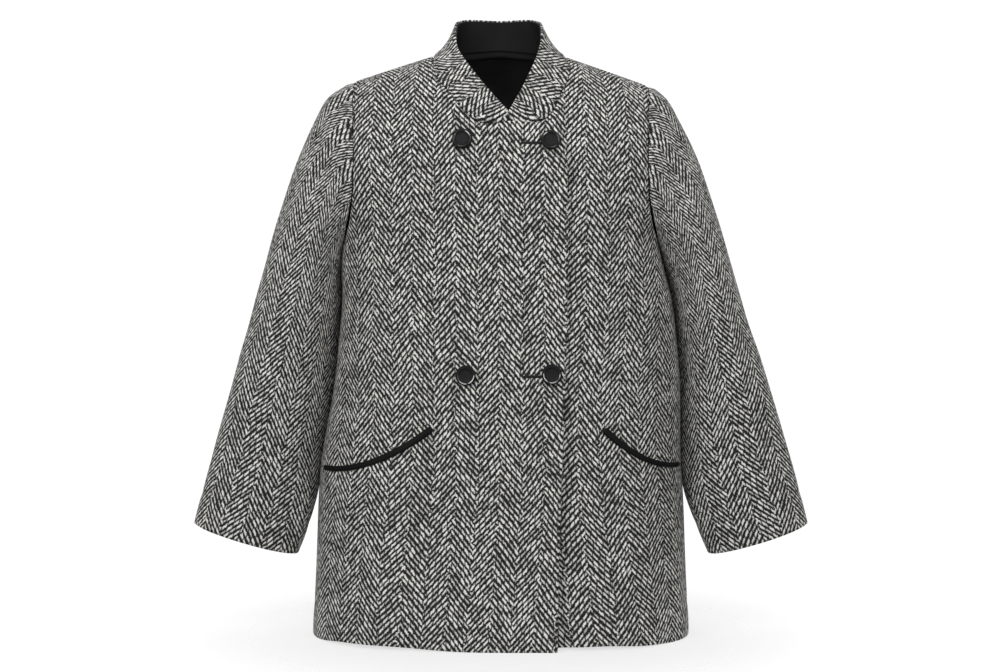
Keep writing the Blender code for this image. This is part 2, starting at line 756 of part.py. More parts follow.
def button_mesh():
    """Turned button with a raised rim, a dished middle and a shank."""
    angle = np.linspace(0, 2 * np.pi, BUTTON_SIDES, endpoint=False)
    points = [(0, 0, 0)]
    for turn in BUTTON_OUTLINE:
        points += [(turn.radius * math.cos(t), turn.radius * math.sin(t), turn.height) for t in angle]
    points.append((0, 0, BUTTON_DISH))
    faces = []
    last = 1 + BUTTON_SIDES * (len(BUTTON_OUTLINE) - 1)
    for i in range(BUTTON_SIDES):
        k = (i + 1) % BUTTON_SIDES
        faces.append((0, 1 + k, 1 + i))
        faces.append((len(points) - 1, last + i, last + k))
        for j in range(len(BUTTON_OUTLINE) - 1):
            low = 1 + j * BUTTON_SIDES
            high = low + BUTTON_SIDES
            faces += split([(low + i, low + k, high + k, high + i)])
    return points, faces


def make_button(button, tree):
    points, faces = button_mesh()
    made = add_object(button.name, points, faces, BLACK_BUTTON)
    point, out = on_panel(tree, button.x, button.z)
    made.location = Vector(point + SEAM * out)
    made.rotation_mode = "QUATERNION"
    made.rotation_quaternion = Vector(out).to_track_quat("Z", "Y")
    return made


def main():
    for old in list(bpy.data.objects):
        bpy.data.objects.remove(old)
    fronts = {-1: make_front("right_front", -1), 1: make_front("left_front", 1)}
    make_back()
    make_sleeve("right_sleeve", -1)
    make_sleeve("left_sleeve", 1)
    make_collar()
    make_facing()
    make_lining()
    trees = {side: surface_of(made) for side, made in fronts.items()}
    for pocket in POCKETS:
        make_piping(pocket, trees[pocket.side])
    for button in BUTTONS:
        make_button(button, trees[-1])


main()
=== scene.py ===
import math

import bpy
import numpy as np
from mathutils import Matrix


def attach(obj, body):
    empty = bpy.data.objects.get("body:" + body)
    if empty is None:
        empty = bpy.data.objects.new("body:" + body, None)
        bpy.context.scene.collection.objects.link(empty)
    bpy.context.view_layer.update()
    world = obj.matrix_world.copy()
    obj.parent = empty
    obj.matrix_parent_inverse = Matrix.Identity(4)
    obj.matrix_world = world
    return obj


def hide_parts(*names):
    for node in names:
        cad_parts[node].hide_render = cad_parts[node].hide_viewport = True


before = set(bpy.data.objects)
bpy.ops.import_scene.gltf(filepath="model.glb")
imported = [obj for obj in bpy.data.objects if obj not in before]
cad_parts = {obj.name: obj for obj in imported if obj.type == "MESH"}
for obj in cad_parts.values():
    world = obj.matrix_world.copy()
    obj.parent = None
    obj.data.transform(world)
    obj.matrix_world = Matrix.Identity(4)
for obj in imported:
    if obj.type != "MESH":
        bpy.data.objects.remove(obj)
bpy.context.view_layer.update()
print("frame loaded:", len(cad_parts), "solids")


# Small curves

# Smooth curve through a table's rows: a cubic between two rows, with end slopes from their neighbours.
# The table's first column says where each row stands.
def curve(table, column, at):
    keys = np.array(next(iter(table.values())))
    values = np.array(table[column])
    slopes = np.gradient(values, keys)
    at = np.clip(at, keys[0], keys[-1])
    row = np.clip(np.searchsorted(keys, at) - 1, 0, len(keys) - 2)
    span = keys[row + 1] - keys[row]
    t = (at - keys[row]) / span
    ease = t * t * (3 - 2 * t)
    bend = t * (1 - t) ** 2 * slopes[row] + t * t * (t - 1) * slopes[row + 1]
    return values[row] * (1 - ease) + values[row + 1] * ease + span * bend


# Zero below 0, one above 1, a soft step between
def softStep(value):
    value = np.clip(value, 0, 1)
    return value * value * (3 - 2 * value)


# One between two values, with a soft step of the given width inside each
def window(value, low, high, fade):
    return softStep((value - low) / fade) * softStep((high - value) / fade)


# Bell of height one and the given half width
def bell(value, width):
    return np.exp(-(value / width) ** 2)


def signedPower(value, power):
    return np.sign(value) * np.abs(value) ** power


def unit(vectors):
    return vectors / np.linalg.norm(vectors, axis=-1, keepdims=True)


# Running length of a grid along one of its axes, zero at the first point
def runLength(grid, axis):
    steps = np.linalg.norm(np.diff(grid, axis=axis), axis=2)
    pad = [(1, 0), (0, 0)] if axis == 0 else [(0, 0), (1, 0)]
    return np.cumsum(np.pad(steps, pad), axis=axis)


# Running length of a single line of points
def lineLength(points):
    return runLength(points[:, None], 0)[:, 0]


# Directions out of a grid: cross product of its two running directions
def outward(grid, wrap=False):
    around = np.roll(grid, -1, axis=0) - np.roll(grid, 1, axis=0) if wrap else np.gradient(grid, axis=0)
    return unit(np.cross(around, np.gradient(grid, axis=1)))


creaseFade = 0.35


# Sum of soft troughs and ridges. Each is a bowed line from one point to another on the cloth,
# a bell across it, fading over a share of its length towards both ends.
def creaseRise(creases, a, b):
    total = 0
    for fromA, fromB, toA, toB, width, rise, bow in creases:
        runA = toA - fromA
        runB = toB - fromB
        length = math.hypot(runA, runB)
        along = ((a - fromA) * runA + (b - fromB) * runB) / length ** 2
        across = ((a - fromA) * runB - (b - fromB) * runA) / length
        ends = window(along, 0, 1, creaseFade)
        total = total + rise * ends * bell(across - 4 * bow * along * (1 - along), width)
    return total


# Waves of the unevenness: size, turns along a and along b, start
waves = [(1, 23, 11, 0.4), (1, -17, 29, 1.9), (0.7, 41, -19, 3.1), (0.6, 13, 47, 5.2)]


# Slow unevenness of hand-pressed cloth: a third of the sum of crossing waves that never line up
def uneven(a, b, height):
    total = sum(share * np.sin(turnA * a + turnB * b + start) for share, turnA, turnB, start in waves)
    return height * total / 3


# Form of the body: level sections that round from the front to the back through the side seams

bodyForm = {
    "height": [-0.760, -0.660, -0.564, -0.445, -0.320, -0.250, -0.140, 0.030],
    "halfWidth": [0.2450, 0.2400, 0.2360, 0.2255, 0.2135, 0.2060, 0.1950, 0.1780],
    "front": [0.150, 0.145, 0.140, 0.134, 0.128, 0.125, 0.123, 0.122],
    "back": [0.142, 0.137, 0.132, 0.126, 0.121, 0.118, 0.118, 0.117],
}

body = {
    "wall": 0.003, "seam": 0.0003, "hem": -0.752, "underarm": -0.250, "fullness": 2.4,
    "chestSpread": 0.062, "chestRise": 0.140,
    "sway": 0.009, "swayStart": 0.090, "swayEnd": -0.545, "swayFade": 0.140,
    "shoulderTop": 0.0236, "shoulderSlope": 0.341, "shoulderTilt": 0.014, "shoulderRound": 0.030,
    "shoulderTip": 0.190, "frontDrop": 0.200, "backDrop": 0.140,
    "sideFade": 0.05, "shoulderFade": 0.03,
    "frontUneven": 0.0006, "backUneven": 0.0008, "backShift": 0.7,
    "edgeRoll": 0.0016, "grooveDepth": 0.0014, "grooveWidth": 0.0032,
    "swell": 0.0005, "swellPlace": 0.009, "swellWidth": 0.005,
    "hemTurn": 0.040, "hemTrough": 0.006, "hemSwell": 0.0005, "hemSwellPlace": 0.018, "hemSwellWidth": 0.014,
}
wall = body["wall"]
hem = body["hem"]
underarm = body["underarm"]

# Upright folds of the skirt: place, half width, height of the top, rise at the hem
frontFolds = [
    (-0.170, 0.026, -0.38, 0.0040),
    (-0.105, 0.030, -0.45, -0.0030),
    (0.125, 0.024, -0.42, -0.0030),
    (0.180, 0.024, -0.36, 0.0040),
]
backFolds = [
    (-0.165, 0.028, -0.34, 0.0045),
    (-0.085, 0.034, -0.28, -0.0040),
    (0.010, 0.040, -0.33, 0.0045),
    (0.095, 0.030, -0.30, -0.0040),
    (0.165, 0.026, -0.36, 0.0040),
]

# Creases: from x, from z, to x, to z, half width, rise, bow
frontCreases = [
    (-0.150, -0.215, -0.095, -0.330, 0.013, -0.0016, 0.006),
    (-0.172, -0.245, -0.130, -0.400, 0.012, -0.0014, 0.010),
    (-0.178, -0.110, -0.120, -0.185, 0.011, -0.0012, -0.004),
    (0.168, -0.205, 0.112, -0.315, 0.013, -0.0016, -0.007),
    (0.176, -0.250, 0.148, -0.420, 0.012, -0.0015, -0.008),
    (0.176, -0.105, 0.118, -0.172, 0.010, -0.0012, 0.005),
    (-0.060, -0.160, -0.075, -0.370, 0.022, -0.0010, 0.004),
    (-0.010, -0.440, 0.006, -0.700, 0.020, -0.0011, -0.006),
    (-0.052, -0.470, -0.070, -0.735, 0.018, 0.0012, 0.005),
    (-0.135, -0.560, -0.118, -0.740, 0.014, -0.0016, 0.004),
    (-0.195, -0.560, -0.205, -0.735, 0.012, -0.0014, -0.003),
    (0.095, -0.500, 0.105, -0.740, 0.016, -0.0013, 0.005),
    (0.155, -0.560, 0.150, -0.735, 0.012, 0.0013, -0.004),
    (0.205, -0.550, 0.208, -0.730, 0.011, -0.0012, 0.003),
    (0.030, -0.150, 0.022, -0.330, 0.020, 0.0008, -0.003),
    (-0.125, -0.060, -0.175, -0.090, 0.012, -0.0009, 0.002),
    (0.122, -0.064, 0.172, -0.092, 0.012, -0.0009, -0.002),
]
backCreases = [
    (-0.165, -0.120, -0.080, -0.270, 0.014, -0.0020, 0.010),
    (-0.175, -0.190, -0.120, -0.340, 0.013, -0.0018, 0.008),
    (0.168, -0.115, 0.090, -0.250, 0.014, -0.0020, -0.009),
    (0.178, -0.200, 0.112, -0.370, 0.013, -0.0016, -0.010),
    (-0.060, -0.020, 0.050, -0.026, 0.010, -0.0011, -0.006),
    (-0.110, -0.395, 0.020, -0.420, 0.013, -0.0014, 0.006),
    (0.010, -0.455, 0.120, -0.430, 0.014, -0.0013, -0.005),
    (-0.045, -0.300, -0.055, -0.640, 0.022, -0.0016, 0.006),
    (0.050, -0.340, 0.062, -0.720, 0.022, 0.0016, -0.006),
    (-0.125, -0.450, -0.135, -0.740, 0.016, 0.0015, 0.004),
    (0.130, -0.460, 0.142, -0.735, 0.015, -0.0017, 0.005),
    (-0.205, -0.480, -0.212, -0.735, 0.012, -0.0014, -0.004),
    (0.204, -0.500, 0.214, -0.735, 0.012, -0.0013, 0.003),
]


# Height of the shoulder line, rounded at the neck and a little lower on the wearer's left
def shoulderLine(x):
    slope = body["shoulderSlope"] * np.sqrt(x * x + body["shoulderRound"] ** 2)
    return body["shoulderTop"] - slope - body["shoulderTilt"] * x


# Half width of the body on the side of x: the waist hangs a little to the wearer's left
def halfWidth(x, z):
    spread = body["chestSpread"] * softStep((z - underarm) / body["chestRise"])
    sway = body["sway"] * softStep((underarm - z) / body["swayStart"])
    sway = sway * softStep((z - body["swayEnd"]) / body["swayFade"])
    return curve(bodyForm, "halfWidth", z) + spread + np.sign(x) * sway


# Distance in from the side seam
def inward(x, z):
    return halfWidth(x, z) - np.abs(x)


# Distance of the cloth from the plane of the seams: a rounded section, closing up to the shoulder line
# like a quarter circle, with the folds growing downwards
def depth(x, z, column, drop, folds):
    across = np.clip(np.abs(x) / halfWidth(x, z), 0, 1)
    section = (1 - across ** body["fullness"]) ** (1 / body["fullness"])
    below = np.clip((shoulderLine(x) - z) / drop, 0, 1)
    rounding = np.sqrt(1 - (1 - below) ** 2)
    rise = 0
    for place, width, top, atHem in folds:
        rise = rise + atHem * softStep((top - z) / (top - hem)) * bell(x - place, width)
    return body["seam"] / 2 + section * (curve(bodyForm, column, z) * rounding + rise)


def frontForm(x, z):
    return -depth(x, z, "front", body["frontDrop"], frontFolds)


def backForm(x, z):
    return depth(x, z, "back", body["backDrop"], backFolds)


# Factor that takes the creases out near the side and shoulder seams
def awayFromSeams(x, z):
    return softStep(inward(x, z) / body["sideFade"]) * softStep((shoulderLine(x) - z) / body["shoulderFade"])


# Hollow that the arm presses into the front beside the side seam
sideHollow = {
    "inset": 0.020, "width": 0.013, "depth": 0.006, "clear": 0.012,
    "top": -0.200, "bottom": -0.560, "fade": 0.080,
}


def hollowRise(x, z):
    inset = inward(x, z)
    ends = window(z, sideHollow["bottom"], sideHollow["top"], sideHollow["fade"])
    ends = ends * softStep(inset / sideHollow["clear"])
    return -sideHollow["depth"] * ends * bell(inset - sideHollow["inset"], sideHollow["width"])


# Overlap of the fronts

overlap = {
    "layer": 0.0009, "closing": 0.009, "width": 0.073, "widthHem": 0.060,
    "topEdge": 0.045, "topDip": 0.003, "underDip": 0.010, "cornerWidth": 0.028, "cornerHeight": 0.050,
    "underStart": 0.086, "underEnd": 0.125, "underTop": -0.040, "underFull": -0.080,
    "gapPlace": 0.0025, "gapWidth": 0.0055, "flareWidth": 0.012, "gapTop": -0.105, "gapFade": 0.04,
}
# Up the closing: how far the free edge stands off, and how deep and how wide the layer under it falls back
overlapGap = {
    "height": [-0.760, -0.640, -0.500, -0.400, -0.250, -0.130],
    "flare": [0.0026, 0.0026, 0.0022, 0.0014, 0.0020, 0.0026],
    "sink": [0.0095, 0.0095, 0.0085, 0.0050, 0.0056, 0.0064],
    "tail": [0.0200, 0.0180, 0.0140, 0.0070, 0.0060, 0.0080],
}


# The under layer lies inside the form by one wall and one gap, and comes back to it beyond the overlap
def underPress(x, z):
    span = overlap["underEnd"] - overlap["underStart"]
    across = 1 - softStep((x - overlap["underStart"]) / span)
    rise = overlap["underTop"] - overlap["underFull"]
    return (wall + overlap["layer"]) * across * softStep((overlap["underTop"] - z) / rise)


# Free edge of the outer front and the hidden one of the under layer, counted towards their own side
def freeEdge(side, z):
    fall = softStep((underarm - z) / (underarm - hem))
    width = overlap["width"] + (overlap["widthHem"] - overlap["width"]) * fall
    return side * overlap["closing"] - width


# Stand-off of the outer edge and fall of the cloth under it: bells beside the free edge
def edgeRise(side, x, z):
    beyond = x + freeEdge(-1, z)
    below = softStep((overlap["gapTop"] - z) / overlap["gapFade"])
    if side < 0:
        return below * curve(overlapGap, "flare", z) * bell(beyond, overlap["flareWidth"])
    past = beyond - overlap["gapPlace"]
    width = np.where(past > 0, curve(overlapGap, "tail", z), overlap["gapWidth"])
    return -below * curve(overlapGap, "sink", z) * bell(past, width)


# Rise of a front's rows above their level: place, half width and rise of a bell, full at the hem
hemLifts = {-1: (-0.160, 0.085, 0.0050), 1: (0.120, 0.075, 0.0050)}
hemLiftFade = 0.04


def hemLift(side, x, z):
    place, width, rise = hemLifts[side]
    low = np.clip((underarm - z) / (underarm - hem), 0, 1)
    return rise * bell(x - place, width) * low * softStep(inward(x, z) / hemLiftFade)


# Pocket mouths, counted towards their own side

pockets = {
    "rightPocketPiping": {
        "node": "right_pocket_piping", "side": -1,
        "from": (0.2255, -0.5340), "to": (0.0850, -0.4770), "width": (0.0065, 0.0090),
    },
    "leftPocketPiping": {
        "node": "left_pocket_piping", "side": 1,
        "from": (0.2270, -0.5300), "to": (0.1280, -0.4790), "width": (0.0060, 0.0090),
    },
}
pocketMouth = {
    "power": 1.9, "dip": -0.0016, "dipWidth": 0.006, "dipPast": 0.012, "dipFade": 0.02,
    "pouch": 0.0022, "pouchBelow": 0.034, "pouchHeight": 0.026, "pouchFade": 0.3, "pouchEnd": 1.02,
}


# Height of a pocket mouth: it leaves the side level and climbs by a power of the share along it
def mouthHeight(pocket, a):
    (fromA, fromZ), (toA, toZ) = pocket["from"], pocket["to"]
    share = np.clip((a - fromA) / (toA - fromA), 0, 1)
    return fromZ + (toZ - fromZ) * share ** pocketMouth["power"], share


# Dip of the cloth along the mouth and the soft bulge of the pouch below it
def pocketRise(x, z):
    total = 0
    for pocket in pockets.values():
        a = pocket["side"] * x
        height, share = mouthHeight(pocket, a)
        below = height - z
        inside = softStep((a - pocket["to"][0] + pocketMouth["dipPast"]) / pocketMouth["dipFade"])
        dip = pocketMouth["dip"] * bell(below, pocketMouth["dipWidth"])
        pouch = pocketMouth["pouch"] * bell(below - pocketMouth["pouchBelow"], pocketMouth["pouchHeight"])
        ends = window(share, 0, pocketMouth["pouchEnd"], pocketMouth["pouchFade"])
        total = total + inside * (dip + pouch * ends)
    return total


# The grain leans outwards with the flare of the sides, most of all below the pocket mouths. Lower down the
# columns also spread outwards, and those of the left front are drawn towards the closing.
sideGrain = {
    "turn": 0.11, "from": 0.05, "full": 0.18, "above": 0.35, "top": -0.35, "fade": 0.10,
    "middle": 0.155, "reach": 0.07, "mouth": 0.006,
    "spread": {-1: 0.078, 1: 0.105}, "spreadTop": -0.540, "spreadStart": 0.020,
    "draw": {-1: 0.0, 1: 0.013}, "drawTop": -0.250, "drawHeight": 0.280,
}


# The weave is turned about the middle of the side, by an angle that grows outwards and downwards, and is then
# moved sideways by the spread and the draw
def turnGrain(side, x, z, weave):
    pocket = next(item for item in pockets.values() if item["side"] == side)
    a = side * x
    below = softStep((mouthHeight(pocket, a)[0] - z) / sideGrain["mouth"] + 0.5)
    outer = softStep((a - sideGrain["from"]) / (sideGrain["full"] - sideGrain["from"]))
    turn = side * sideGrain["turn"] * outer * softStep((sideGrain["top"] - z) / sideGrain["fade"])
    turn = turn * (sideGrain["above"] + (1 - sideGrain["above"]) * below)
    drop = np.maximum(mouthHeight(pocket, sideGrain["middle"])[0] - z, -sideGrain["reach"])
    sink = sideGrain["reach"] * (np.exp(-drop / sideGrain["reach"]) - 1)
    lean = np.stack([sink, side * sideGrain["middle"] - x], axis=2)
    fall = np.maximum(sideGrain["spreadTop"] - z, 0)
    spread = side * sideGrain["spread"][side] * fall ** 2 / (fall + sideGrain["spreadStart"])
    draw = sideGrain["draw"][side] * softStep((sideGrain["drawTop"] - z) / sideGrain["drawHeight"])
    return weave + turn[..., None] * lean + np.stack([draw - spread, np.zeros_like(spread)], axis=2)


# Outer face of a front: its form moved by creases, unevenness, pockets, the free edge and the arm's hollow
def frontFace(side, x, z):
    rise = creaseRise(frontCreases, x, z) + uneven(x, z, body["frontUneven"]) + pocketRise(x, z)
    y = frontForm(x, z) - rise * awayFromSeams(x, z) - edgeRise(side, x, z) - hollowRise(x, z)
    return y + underPress(x, z) if side > 0 else y


def backFace(x, z):
    rise = creaseRise(backCreases, x, z) + uneven(x + body["backShift"], z, body["backUneven"])
    return backForm(x, z) + rise * awayFromSeams(x, z)


# Neck and armhole outlines

neck = {"half": 0.0865, "napeDrop": 0.0157, "lean": 0.15, "shift": -0.003, "fineSteps": 600}
frontNeck = {
    "halfWidth": [0.0030, 0.0340, 0.0545, 0.0700, 0.0855],
    "height": [-0.0960, -0.0980, -0.0845, -0.0595, -0.0340],
}
armholeForm = {
    "height": [-0.250, -0.235, -0.205, -0.160, -0.110, -0.070, -0.039],
    "halfWidth": [0.2060, 0.1985, 0.1900, 0.1860, 0.1865, 0.1885, 0.1900],
}


def neckMiddle(z):
    return neck["shift"] - neck["lean"] * np.minimum(z, 0)


# Collar seam on one front, from the closing to the shoulder, in steps of even length on the cloth
def frontNeckline(side, columns):
    atShoulder = neckMiddle(shoulderLine(neck["half"])) + side * neck["half"]
    height = np.array(frontNeck["height"])
    x = np.append(neckMiddle(height) + side * np.array(frontNeck["halfWidth"]), atShoulder)
    z = np.append(height, shoulderLine(atShoulder))
    table = {"length": lineLength(np.stack([x, z], axis=1)), "x": x, "z": z}
    at = np.linspace(0, table["length"][-1], neck["fineSteps"])
    x = curve(table, "x", at)
    z = curve(table, "z", at)
    run = lineLength(np.stack([x, frontForm(x, z), z], axis=1))
    even = np.linspace(0, run[-1], columns + 1)
    return np.interp(even, run, x), np.interp(even, run, z)


# Collar seam on the back, from the wearer's right to the left: a shallow arc under the shoulder lines
def backNeckline(columns):
    angle = np.linspace(np.pi, 0, columns + 1)
    x = neckMiddle(shoulderLine(neck["half"])) + neck["half"] * np.cos(angle)
    return x, shoulderLine(x) - neck["napeDrop"] * np.sin(angle) ** 2


def armholeShares(rows):
    return (1 - np.cos(np.pi * np.arange(rows + 1) / rows)) / 2


def armholeEdge(rows):
    top = armholeForm["height"][-1]
    return curve(armholeForm, "halfWidth", underarm + (top - underarm) * armholeShares(rows))


grainSteps = np.linspace(0, 1, 40)


# Length of cloth along a level section from the middle to x
def grainAcross(face, x, z):
    path = x[..., None] * grainSteps
    return np.sign(x) * np.hypot(np.diff(path), np.diff(face(path, z[..., None]))).sum(axis=-1)


# Length up the cloth from the underarm to z, and plain height below the underarm
def grainUp(face, x, z):
    path = underarm + (np.maximum(z, underarm) - underarm)[..., None] * grainSteps
    climb = np.hypot(np.diff(path), np.diff(face(x[..., None], path))).sum(axis=-1)
    return climb + np.minimum(z - underarm, 0)


# Meshes

# Mesh piece on the root body. The weave holds a place for each corner of the faces, in their order. Faces
# past its end, such as end caps, get none.
def addPiece(name, points, faces, weave, materials, slots=None):
    mesh = bpy.data.meshes.new(name)
    mesh.from_pydata(points.tolist(), [], faces)
    uv = np.zeros((len(mesh.loops), 2), np.float32)
    uv[:weave.size // 2] = weave.reshape(-1, 2)
    mesh.uv_layers.new(name="weave").uv.foreach_set("vector", uv.ravel())
    for material in materials:
        mesh.materials.append(material)
    if slots is not None:
        mesh.polygons.foreach_set("material_index", slots.astype(np.int32))
    mesh.shade_smooth()
    piece = bpy.data.objects.new(name, mesh)
    bpy.context.scene.collection.objects.link(piece)
    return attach(piece, "root")


# Closed thin wall between an outer and an inner grid. Along the border a rim of half-round strips joins
# them, standing out by roll. Material 1 is for the faces of the inner grid where inside is true.
def clothWall(name, outer, inner, weave, roll, inside, materials, wrap=False, rimSteps=4):
    columns, rows = outer.shape[:2]
    count = columns * rows
    number = np.arange(count).reshape(columns, rows)
    here = np.arange(columns if wrap else columns - 1)

    def corners(grid, after):
        low = grid[here]
        high = grid[after]
        return np.stack([low[:, :-1], high[:, :-1], high[:, 1:], low[:, 1:]], axis=2)

    outerFaces = corners(number, (here + 1) % columns).reshape(-1, 4)
    outerWeave = corners(weave, here + 1).reshape(-1, 4, 2)

    # Direction off the cloth at each border point
    off = np.zeros_like(outer)
    off[:, 0] += outer[:, 0] - outer[:, 1]
    off[:, -1] += outer[:, -1] - outer[:, -2]
    if wrap:
        cuff = np.roll(number[::-1, -1], 1)
        borders = [
            (number[:, 0], weave[:-1, 0], weave[1:, 0]),
            (cuff, weave[:0:-1, -1], weave[-2::-1, -1]),
        ]
    else:
        off[0] += outer[0] - outer[1]
        off[-1] += outer[-1] - outer[-2]
        ring = np.concatenate([number[:, 0], number[-1, 1:], number[-2::-1, -1], number[0, -2:0:-1]])
        ringWeave = weave.reshape(-1, 2)[ring]
        borders = [(ring, ringWeave, np.roll(ringWeave, -1, axis=0))]
    off = off.reshape(-1, 3)
    off = off / np.maximum(np.linalg.norm(off, axis=1, keepdims=True), 1e-9)

    points = [outer.reshape(-1, 3), inner.reshape(-1, 3)]
    faces = [outerFaces, outerFaces[:, ::-1] + count]
    weaves = [outerWeave, outerWeave[:, ::-1]]
    slots = [np.zeros(len(outerFaces), int), inside[here][:, :-1].ravel()]
    total = 2 * count
    for ring, weaveStart, weaveEnd in borders:
        rimInside = inside.ravel()[ring] & (roll.ravel()[ring] == 0)
        middle = (points[0][ring] + points[1][ring]) / 2
        half = (points[0][ring] - points[1][ring]) / 2
        out = off[ring] * roll.reshape(-1, 1)[ring]
        strips = [ring]
        for step in range(1, rimSteps):
            angle = np.pi * step / rimSteps
            points.append(middle + math.cos(angle) * half + math.sin(angle) * out)
            strips.append(total + np.arange(len(ring)))
            total += len(ring)
        strips.append(ring + count)
        for first, second in zip(strips[:-1], strips[1:]):
            faces.append(np.stack([np.roll(first, -1), first, second, np.roll(second, -1)], axis=1))
            weaves.append(np.stack([weaveEnd, weaveStart, weaveStart, weaveEnd], axis=1))
            slots.append(rimInside)
    return addPiece(name, np.concatenate(points), np.concatenate(faces).tolist(), np.concatenate(weaves),
                    materials, np.concatenate(slots))


# Profile carried along a path: rings of points joined to their neighbours, closed at both ends by a fan
def tubePiece(name, rings, weave, materials):
    steps, count = rings.shape[:2]
    number = np.arange(steps * count).reshape(steps, count)
    nextPoint = np.roll(number, -1, axis=1)
    faces = np.stack([number[:-1], nextPoint[:-1], nextPoint[1:], number[1:]], axis=2).reshape(-1, 4)
    wide = np.concatenate([weave, weave[:, -1:] + (weave[:, -1:] - weave[:, -2:-1])], axis=1)
    uv = np.stack([wide[:-1, :-1], wide[:-1, 1:], wide[1:, 1:], wide[1:, :-1]], axis=2)
    points = np.concatenate([rings.reshape(-1, 3), rings[:1].mean(axis=1), rings[-1:].mean(axis=1)])
    start = np.full(count, steps * count)
    first = np.stack([number[0], start, nextPoint[0]], axis=1)
    last = np.stack([number[-1], nextPoint[-1], start + 1], axis=1)
    return addPiece(name, points, faces.tolist() + first.tolist() + last.tolist(), uv, materials)


# Materials

class Wire:
    # A socket and its node tree; arithmetic on it adds Math nodes
    def __init__(self, tree, socket=None):
        self.tree = tree
        self.socket = socket

    def make(self, kind, settings=None, sockets=None, output=0):
        node = self.tree.nodes.new(kind)
        for name, value in (settings or {}).items():
            setattr(node, name, value)
        for name, value in (sockets or {}).items():
            if isinstance(value, Wire):
                self.tree.links.new(value.socket, node.inputs[name])
            else:
                node.inputs[name].default_value = value
        return Wire(self.tree, node.outputs[output])

    def math(self, operation, *values):
        return self.make("ShaderNodeMath", {"operation": operation}, dict(enumerate((self, *values))))

    def __add__(self, other):
        return self.math("ADD", other)

    def __sub__(self, other):
        return self.math("SUBTRACT", other)

    def __rsub__(self, other):
        return self.make("ShaderNodeMath", {"operation": "SUBTRACT"}, {0: other, 1: self})

    def __mul__(self, other):
        return self.math("MULTIPLY", other)

    def __truediv__(self, other):
        return self.math("DIVIDE", other)

    __radd__ = __add__
    __rmul__ = __mul__

    # Soft step from 0 to 1 between two values
    def step(self, low, high):
        return self.make("ShaderNodeMapRange", {"interpolation_type": "SMOOTHSTEP"},
                         {"Value": self, "From Min": low, "From Max": high})

    def noise(self, scale, detail=2.0, roughness=0.5):
        return self.make("ShaderNodeTexNoise", {"noise_dimensions": "3D"},
                         {"Vector": self, "Scale": scale, "Detail": detail, "Roughness": roughness})

    def chance(self, first, second):
        at = self.make("ShaderNodeCombineXYZ", None, {"X": first, "Y": second})
        return self.make("ShaderNodeTexWhiteNoise", {"noise_dimensions": "2D"}, {"Vector": at})

    def mix(self, low, high):
        return self.make("ShaderNodeMix", {"data_type": "RGBA"}, {0: self, 6: low, 7: high}, 2)

    # Moved to and fro by noises of the place at, each with its scale and reach
    def waver(self, at, noises):
        value = self
        for scale, reach in noises:
            value = value + (at.noise(scale, 1.0) - 0.5) * reach
        return value

    # Height of a triangle wave that is 1 in the middle of each unit
    def peak(self):
        return 1 - (self * 2 - 1).math("ABSOLUTE")

    # Place on the cloth, and how far across and up it that is
    def weave(self):
        cloth = self.make("ShaderNodeUVMap", {"uv_map": "weave"})
        across = self.make("ShaderNodeSeparateXYZ", None, {"Vector": cloth})
        return cloth, across, Wire(self.tree, across.socket.node.outputs[1])

    # Place in the part's frame
    def place(self):
        return self.make("ShaderNodeTexCoord", None, None, 3)


def newMaterial(name, fixed):
    material = bpy.data.materials.new(name)
    material.use_nodes = True
    tree = material.node_tree
    shader = tree.nodes["Principled BSDF"]
    for socket, value in fixed.items():
        shader.inputs[socket].default_value = value
    return material, Wire(tree), shader


def feed(wire, shader, socket):
    wire.tree.links.new(wire.socket, shader.inputs[socket])


# Feeds a shader's colour between two tones, its roughness and its bump of the given strength and depth
def finishShader(shader, look, tone, roughness, height):
    feed(tone.mix(look["dark"], look["light"]), shader, "Base Color")
    feed(roughness, shader, "Roughness")
    strength, distance = look["bump"]
    sockets = {"Strength": strength, "Distance": distance, "Height": height}
    feed(height.make("ShaderNodeBump", None, sockets), shader, "Normal")


tweed = {
    "name": "herringboneTweed",
    "halfColumn": 0.0275, "columnShift": -0.001, "slope": 1.2, "pitch": 0.0080, "float": 0.0064,
    "stray": 0.05, "rag": 0.006, "ragHeight": 0.0045, "wander": 0.22,
    "waverAcross": [(16, 0.006), (260, 0.0014)], "waverUp": [(20, 0.006), (300, 0.0018)],
    "apart": (3.1, 7.7, 0), "fuzz": 1300, "slub": 480, "edge": (-0.10, 0.28), "ends": (0.04, 0.46),
    "fleck": 900, "fleckEdge": (0.55, 0.8), "fleckLight": 0.12,
    "dark": (0.018, 0.018, 0.0175, 1), "light": (0.86, 0.85, 0.81, 1), "bump": (0.5, 0.0008),
    "fixed": {"Sheen Weight": 0.03, "Sheen Roughness": 0.5, "Specular IOR Level": 0.08},
}


